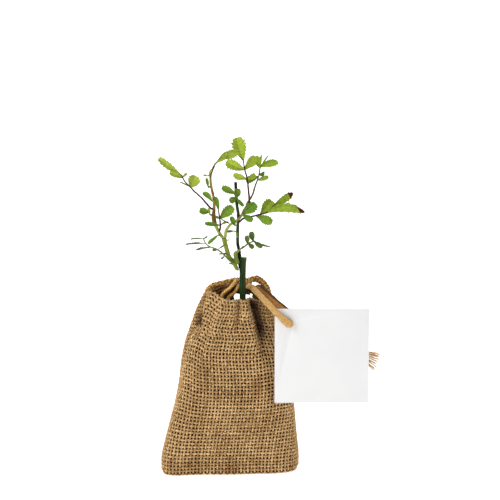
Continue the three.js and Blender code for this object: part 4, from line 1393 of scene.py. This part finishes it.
class SAPLING_OT_drawstring(bpy.types.Operator):
    """Lays the drawstring's two tails and frays the end of the rear one"""
    bl_idname = "sapling.drawstring"
    bl_label = "Drawstring"

    def execute(self, context):
        names = ("cord_dark", "cord", "cord_light")
        jute = cord_finish("brushed_jute", tints(*names))
        # Painted shade: the rear tail takes a darker copy of the cord's tints.
        shaded = cord_finish("shaded_jute", warmed(tints(*names), REAR_TAIL_PAINTED_SHADE), dark_edge=True)
        self.lay_tail("drawstring_front", FRONT_TAIL, 90, jute, "cord_front", FRONT_FLARE, FRONT_SLIM)
        self.lay_tail("drawstring_rear", REAR_TAIL, 110, shaded, "cord_rear")
        self.fray()
        return {"FINISHED"}

    def lay_tail(self, name, points, steps, finish, node, flare=(0, 1, 1), slim=1):
        """flare: where the end starts to widen, where it has, and how much; past that it narrows to go
        through the card. slim: the share of the cord's width that the rest has."""
        path = Path(points)
        low, high, wide = flare

        def section(t):
            scale = lerp(slim, wide, smooth(t, low, high))
            if wide > 1:
                scale = scale * lerp(1, 0.66, smooth(t, 0.945, 0.965))
            rounded = np.sqrt(np.clip(t / 0.012, 0.15, 1))
            half_width, half_thickness = CORD["width"] / 2, CORD["thickness"] / 2
            return half_width * scale * rounded, half_thickness * (0.5 + 0.5 * scale) * rounded

        def relief(t, turn):
            square = (np.abs(np.cos(turn)) ** 3 + np.abs(np.sin(turn)) ** 3) ** (-1 / 3)
            lumps = 0.035 * np.sin(t * 61) + 0.03 * np.sin(t * 23 + turn * 2)
            return square * (1 + lumps - 0.05 * np.cos(turn * 6))

        pieces = [bent_rod(name, path, 28, steps, section, np.array([1.0, 0, 1.0]), relief)]
        if wide > 1:
            knot = primitive(bpy.ops.mesh.primitive_uv_sphere_add, "cord_knot",
                             segments=32, ring_count=20, radius=1)
            place(knot, lambda old: np.array(CORD_KNOT) + old * np.array(KNOT_RADII)
                  * (1 + 0.05 * np.sin(old[:, :1] * 9 + old[:, 2:] * 7)))
            pieces.append(knot)
        finish_piece(join(pieces, name), finish, "jute_cord", node)

    def fray(self):
        """Loose strands that fan out of the cut end, each with its own curl."""
        dark, light = tints("cord", "tassel")
        finish = thread_finish("frayed_jute", [dark, light, *warmed([light], FRAY_WARMTH)])
        rng = np.random.default_rng(21)
        strands = Bundle()
        foot = np.array(TASSEL_FOOT)
        t = np.linspace(0, 1, 14)
        facing = np.tile([0.0, -1.0, 0.0], (len(t), 1))
        locks = len(TASSEL_LOCKS)
        for k in range(STRANDS_PER_LOCK * locks):
            lock = k % locks
            spread = 2 * (lock + 0.5) / locks - 1 + 0.045 * rng.standard_normal()
            fan = math.radians(TASSEL_FAN[0] + TASSEL_FAN[1] * spread)
            edge = foot + np.array([7.4, 0.6 * rng.uniform(-1, 1), -3.4 + 5.2 * spread])
            reach = TASSEL_REACH * TASSEL_LOCKS[lock] * rng.uniform(0.7, 1.0)
            ahead = np.array([math.cos(fan), 0.2 * rng.uniform(-1, 1), math.sin(fan)])
            start = foot + np.array([0, 0, 1.9 * spread])
            centres = Path([start, edge, edge + ahead * reach / 2, edge + ahead * reach], 12).at(t)
            curl = np.sin(t * rng.uniform(4, 9) + k) * t * 0.5
            centres = centres + np.array([0, 0.2, 0.3]) * curl[:, None]
            width = rng.uniform(0.12, 0.24) * (1.05 - 0.6 * t)
            strands.thread(centres, facing, width, 0.14, rng.random(), k)
        finish_piece(strands.build("frayed_end"), finish, "jute_cord", "cord_tassel")


class SAPLING_OT_card(bpy.types.Operator):
    """Cuts the blank card, with its punched hole"""
    bl_idname = "sapling.card"
    bl_label = "Blank Card"

    def execute(self, context):
        centre = Vector((CARD["left"] + CARD["width"] / 2, CARD["front"] + CARD["thickness"] / 2,
                         CARD["top"] - CARD["height"] / 2))
        card = primitive(bpy.ops.mesh.primitive_cube_add, "blank_card", size=1, location=centre * MM)
        card.scale = Vector((CARD["width"], CARD["thickness"], CARD["height"])) * MM
        freeze(card)
        through = 4  # longer than the card is thick
        punch = primitive(
            bpy.ops.mesh.primitive_cylinder_add, "card_punch", vertices=64, radius=CARD["hole"] * MM,
            depth=through * MM, rotation=(math.pi / 2, 0, 0),
            location=Vector((CARD_HOLE[0], centre.y, CARD_HOLE[1])) * MM)
        freeze(punch)
        apply_modifier(card, "BOOLEAN", object=punch, operation="DIFFERENCE", solver="EXACT")
        bpy.data.objects.remove(punch)
        apply_modifier(card, "BEVEL", width=CARD["bevel"] * MM, segments=2, limit_method="ANGLE")
        board = card_finish("plain_board", *tints("card"))
        finish_piece(card, board, "card", "card", smooth_shading=False)
        bpy.ops.object.shade_smooth_by_angle(angle=math.radians(35))
        return {"FINISHED"}


class SAPLING_OT_stems(bpy.types.Operator):
    """Grows the trunk, the leader and the shoots, with the relief of their bark"""
    bl_idname = "sapling.stems"
    bl_label = "Stems"

    def execute(self, context):
        self.grow_trunk()
        green, = tints("green_shoot")
        for name, (sides, steps, slot, base, streak, roughness, marks) in BARKS.items():
            node = "leader" if name == "leader" else f"{name}_shoot"
            base = colour(base) if base else scaled(green, 0.82)
            streak = colour(streak) if streak else scaled(green, 1.22)
            finish = bark_finish(f"{node}_bark", base, streak, roughness, marks)
            self.grow(LIMBS[name], node, sides, steps, slot, finish, MAIN_SPURS if name == "main" else ())
        return {"FINISHED"}

    def rod(self, name, limb, sides, steps, ridges, depth):
        """A limb with twisting ridges, their depth given as a share of its radius."""
        def section(t):
            return (limb.radius(t),) * 2

        def relief(t, turn):
            twist = turn + 0.5 * np.sin(t * 3)
            fine = np.sin(twist * ridges) + 0.6 * np.sin(twist * (ridges * 2 + 1) + t * 19)
            return 1 + depth * (fine + 0.9 * np.sin(t * 37 + twist * 2))

        return bent_rod(name, limb.path, sides, steps, section, relief=relief)

    def grow(self, limb, node, sides, steps, slot, finish, spurs):
        pieces = [self.rod(f"{node}_bark", limb, sides, steps, ridges=5, depth=0.018)]
        for share, bearing, pitch, length in spurs:
            foot = limb.path.at(share)
            tip = foot + heading(bearing, pitch) * (float(limb.radius(share)) + length)
            spur = bent_rod("spur", Path([foot, (foot + tip) / 2, tip]), 10, 10,
                            lambda t: (lerp(0.7, 0.35, t),) * 2)
            if length > LONG_SPUR:
                dead = bark_finish("dead_wood", *map(colour, DEAD_WOOD))
                finish_piece(spur, dead, "bark", node)
                spur.name = "dead_stub"
            else:
                pieces.append(spur)
        finish_piece(join(pieces, f"{node}_bark"), finish, slot, node)

    def grow_trunk(self):
        trunk = self.rod("trunk_stem", LIMBS["trunk"], 40, 60, ridges=9, depth=0.022)
        collar = self.rod("trunk_collar", LIMBS["collar"], 24, 40, ridges=5, depth=0.045)
        stem = join([trunk, collar], "trunk_bark")
        finish_piece(stem, trunk_finish("trunk_bark", tints("trunk", "trunk_light")), "bark", "trunk")
        bpy.ops.object.shade_smooth_by_angle(angle=math.radians(50))


class SAPLING_OT_leaves(bpy.types.Operator):
    """Grows every compound leaf: its stalk, and its toothed and folded leaflets"""
    bl_idname = "sapling.leaves"
    bl_label = "Leaves"

    def execute(self, context):
        blades, stalks, owners = {}, {}, {}
        for number, (leaf, (limb, share, stalk, leaflets, tint, stalk_tint)) in enumerate(LEAVES.items(), 1):
            draw = seeded(number * 7919 + 13)
            path = Path([*LIMBS[limb].seat(share, stalk[0]), *stalk])
            winged = WINGED_STALKS.get(leaf, 0.0)

            def section(t, winged=winged):
                round_part = lerp(*STALK_RADII, t)
                return round_part + winged * (1 - smooth(t, 0.25, 0.4)), round_part + 0.15 * winged

            stalks.setdefault(stalk_tint, []).append(bent_rod(
                f"{leaf}_stalk", path, 8, max(8, int(path.length * 1.6)), section,
                relief=lambda t, turn: 1 + 0.06 * np.sin(t * 40 + turn)))
            owners.setdefault(stalk_tint, []).append(leaf)
            for k, item in enumerate(leaflets):
                shape = self.leaflet_shape(path.at(item[0]), item, draw)
                own = ODD_BLADES.get((leaf, k), tint)
                ragged = (leaf, k) in RED_TIPS
                blades.setdefault(own, []).append(self.blade(shape, item, ragged))
                owners.setdefault(f"{own} blades", []).append(leaf)
                if ragged:
                    tip = self.blade(shape, item, ragged, RED_TIPS[leaf, k], RED_TIP_SWELL)
                    blades.setdefault("red", []).append(tip)
                    owners.setdefault("red blades", []).append(leaf)
        for tint, pieces in stalks.items():
            shade = colour(STALK_TINTS[tint])
            finish = bark_finish(f"{tint}_stalk", scaled(shade, 0.8), scaled(shade, 1.3))
            finish_piece(join(pieces, f"leaf_stalks_{tint}"), finish, "leaf", *owners[tint])
        for tint, pieces in blades.items():
            shade, = tints(tint)
            vein = tuple(min(c * 1.35 + 0.03, 1) for c in shade)
            made = join(pieces, f"leaf_blades_{tint}")
            thickness = size("blade_thickness") + (RED_TIP_THICKER if tint == "red" else 0)
            apply_modifier(made, "SOLIDIFY", thickness=thickness * MM, offset=0)
            in_edit(made, outward)
            nodes = list(dict.fromkeys(owners[f"{tint} blades"]))
            finish_piece(made, leaf_finish(f"{tint}_blade", shade, vein), "leaf", *nodes)
        return {"FINISHED"}

    def leaflet_shape(self, foot, item, draw):
        """The frame of one leaflet, from the same rule and the same draws as its solid."""
        along = heading(item[1], item[4])
        clockwise = unit(np.cross(along, np.array([0, -1.0, 0])))
        turn = math.radians(item[5] + 6 * draw())
        across = np.array(Matrix.Rotation(turn, 3, Vector(along)) @ Vector(clockwise))
        return foot, along, across, clockwise, 0.24 + 0.06 * draw(), 0.1 + 0.05 * draw()

    def blade(self, shape, item, ragged, start=0.0, swell=1.0):
        """One leaflet: a grid folded along its midrib, curled, quilted between its veins and toothed; from
        start on, for a red tip that lies over it."""
        foot, along, across, clockwise, fold, curl = shape
        face = np.cross(across, along)
        length, width = item[2], item[3]
        bend = math.radians(item[6]) if len(item) > 6 else 0.0
        rows = max(4, int(5 * TEETH * (1 - start)))
        blade = primitive(bpy.ops.mesh.primitive_grid_add, "blade",
                          x_subdivisions=10, y_subdivisions=rows, size=1)
        depth = user_sizes().tooth_depth

        def position(old):
            s, t = old[:, 0] * 2, lerp(start, 1, old[:, 1] + 0.5)
            outline = np.interp(t, BLADE_SHARES, RAGGED_BLADE if ragged else BLADE)
            phase = np.mod(t * TEETH + 1e-6, 1)
            toothed = 1 - depth * (1 - phase) * np.abs(s) ** 4 * smooth(t, 0.08, 0.2)
            side = s / 2 * np.maximum(width * outline, LEAF_FOOT["width"]) * toothed * swell
            between = np.abs(s) * (1 - np.abs(s))
            quilt = 0.045 * width * np.sin(2 * math.pi * (t * TEETH - 0.95 * np.abs(s))) * between
            ripple = 0.04 * width * np.sin(t * 11 + s * 2.4 + length) * s * s
            lift = fold * np.abs(side) - curl * length * t * t + quilt + ripple
            hook = 0.09 * width * np.abs(s) ** 4 * phase * (1 - 0.6 * t)  # each tooth leans to the tip
            turned = bend * t
            run = (lerp(-LEAF_FOOT["sunk"], length, t) + hook) * (1 - turned**2 / 6)
            aside = length * t * turned / 2
            return foot + along * run[:, None] + clockwise * aside[:, None] \
                + across * side[:, None] + face * lift[:, None]

        place(blade, position)
        return blade


class SAPLING_OT_stage(bpy.types.Operator):
    """Sets the pale floor, the soft studio light and the camera"""
    bl_idname = "sapling.stage"
    bl_label = "Stage"

    def execute(self, context):
        scene = context.scene
        floor = primitive(bpy.ops.mesh.primitive_plane_add, "studio_floor", size=FLOOR_SIDE)
        f = Finish("studio_white", roughness=0.9)
        tone = f.noise(f.place(), 0.004, 2.0, 0.5)
        f.shader.inputs["Emission Color"].default_value = (1, 1, 1, 1)
        f.shader.inputs["Emission Strength"].default_value = FLOOR_GLOW
        floor.data.materials.append(f.paint(f.mix(tone, colour("#fafafa"), colour("#ffffff"))))
        freeze(floor)
        wall = primitive(bpy.ops.mesh.primitive_plane_add, "studio_wall",
                         size=WALL_SIDE, location=WALL_AT, rotation=(math.pi / 2, 0, 0))
        glow = Finish("studio_light", base_color=(1, 1, 1, 1), emission_color=(1, 1, 1, 1),
                      emission_strength=WALL_GLOW)
        wall.data.materials.append(glow.material)
        freeze(wall)
        for name, settings in LIGHTS.items():
            self.light(name, *settings)
        world = bpy.data.worlds.new("studio")
        world.use_nodes = True
        sky = world.node_tree.nodes["Background"]
        sky.inputs["Color"].default_value = (1, 1, 1, 1)
        sky.inputs["Strength"].default_value = SKY_GLOW
        scene.world = world
        scene.view_settings.view_transform = "Standard"
        camera = bpy.data.cameras.new("camera")
        camera.lens = LENS
        camera.sensor_width = SENSOR
        camera.clip_start = 0.01
        eye = bpy.data.objects.new("camera", camera)
        scene.collection.objects.link(eye)
        eye.location = CAMERA_AT * MM
        eye.rotation_euler = (CAMERA_AIM - CAMERA_AT).to_track_quat("-Z", "Y").to_euler()
        scene.camera = eye
        return {"FINISHED"}

    def light(self, name, at, side, watts):
        bpy.ops.object.light_add(type="AREA", location=at)
        lamp = bpy.context.object
        lamp.name = name
        lamp.data.size = side
        lamp.data.energy = watts
        lamp.rotation_euler = (LIT_POINT - Vector(at)).to_track_quat("-Z", "Y").to_euler()


OPERATORS = (
    SAPLING_OT_root_ball, SAPLING_OT_pouch, SAPLING_OT_hem, SAPLING_OT_drawstring, SAPLING_OT_card,
    SAPLING_OT_stems, SAPLING_OT_leaves, SAPLING_OT_stage,
)


class SAPLING_PT_panel(bpy.types.Panel):
    bl_label = "Rose Sapling"
    bl_idname = "SAPLING_PT_panel"
    bl_space_type = "VIEW_3D"
    bl_region_type = "UI"
    bl_category = "Sapling"

    def draw(self, context):
        for operator in OPERATORS:
            self.layout.operator(operator.bl_idname)
        for held in (context.scene.sapling_sizes, context.scene.sapling_colours):
            box = self.layout.box()
            for key in held.__annotations__:
                box.prop(held, key)


CLASSES = (SaplingSizes, SaplingColours, *OPERATORS, SAPLING_PT_panel)


def register():
    for cls in CLASSES:
        bpy.utils.register_class(cls)
    bpy.types.Scene.sapling_sizes = PointerProperty(type=SaplingSizes)
    bpy.types.Scene.sapling_colours = PointerProperty(type=SaplingColours)


def unregister():
    del bpy.types.Scene.sapling_colours
    del bpy.types.Scene.sapling_sizes
    for cls in reversed(CLASSES):
        bpy.utils.unregister_class(cls)


def main():
    register()
    for operator in OPERATORS:
        category, name = operator.bl_idname.split(".")
        getattr(getattr(bpy.ops, category), name)()


if __name__ == "__main__":
    main()
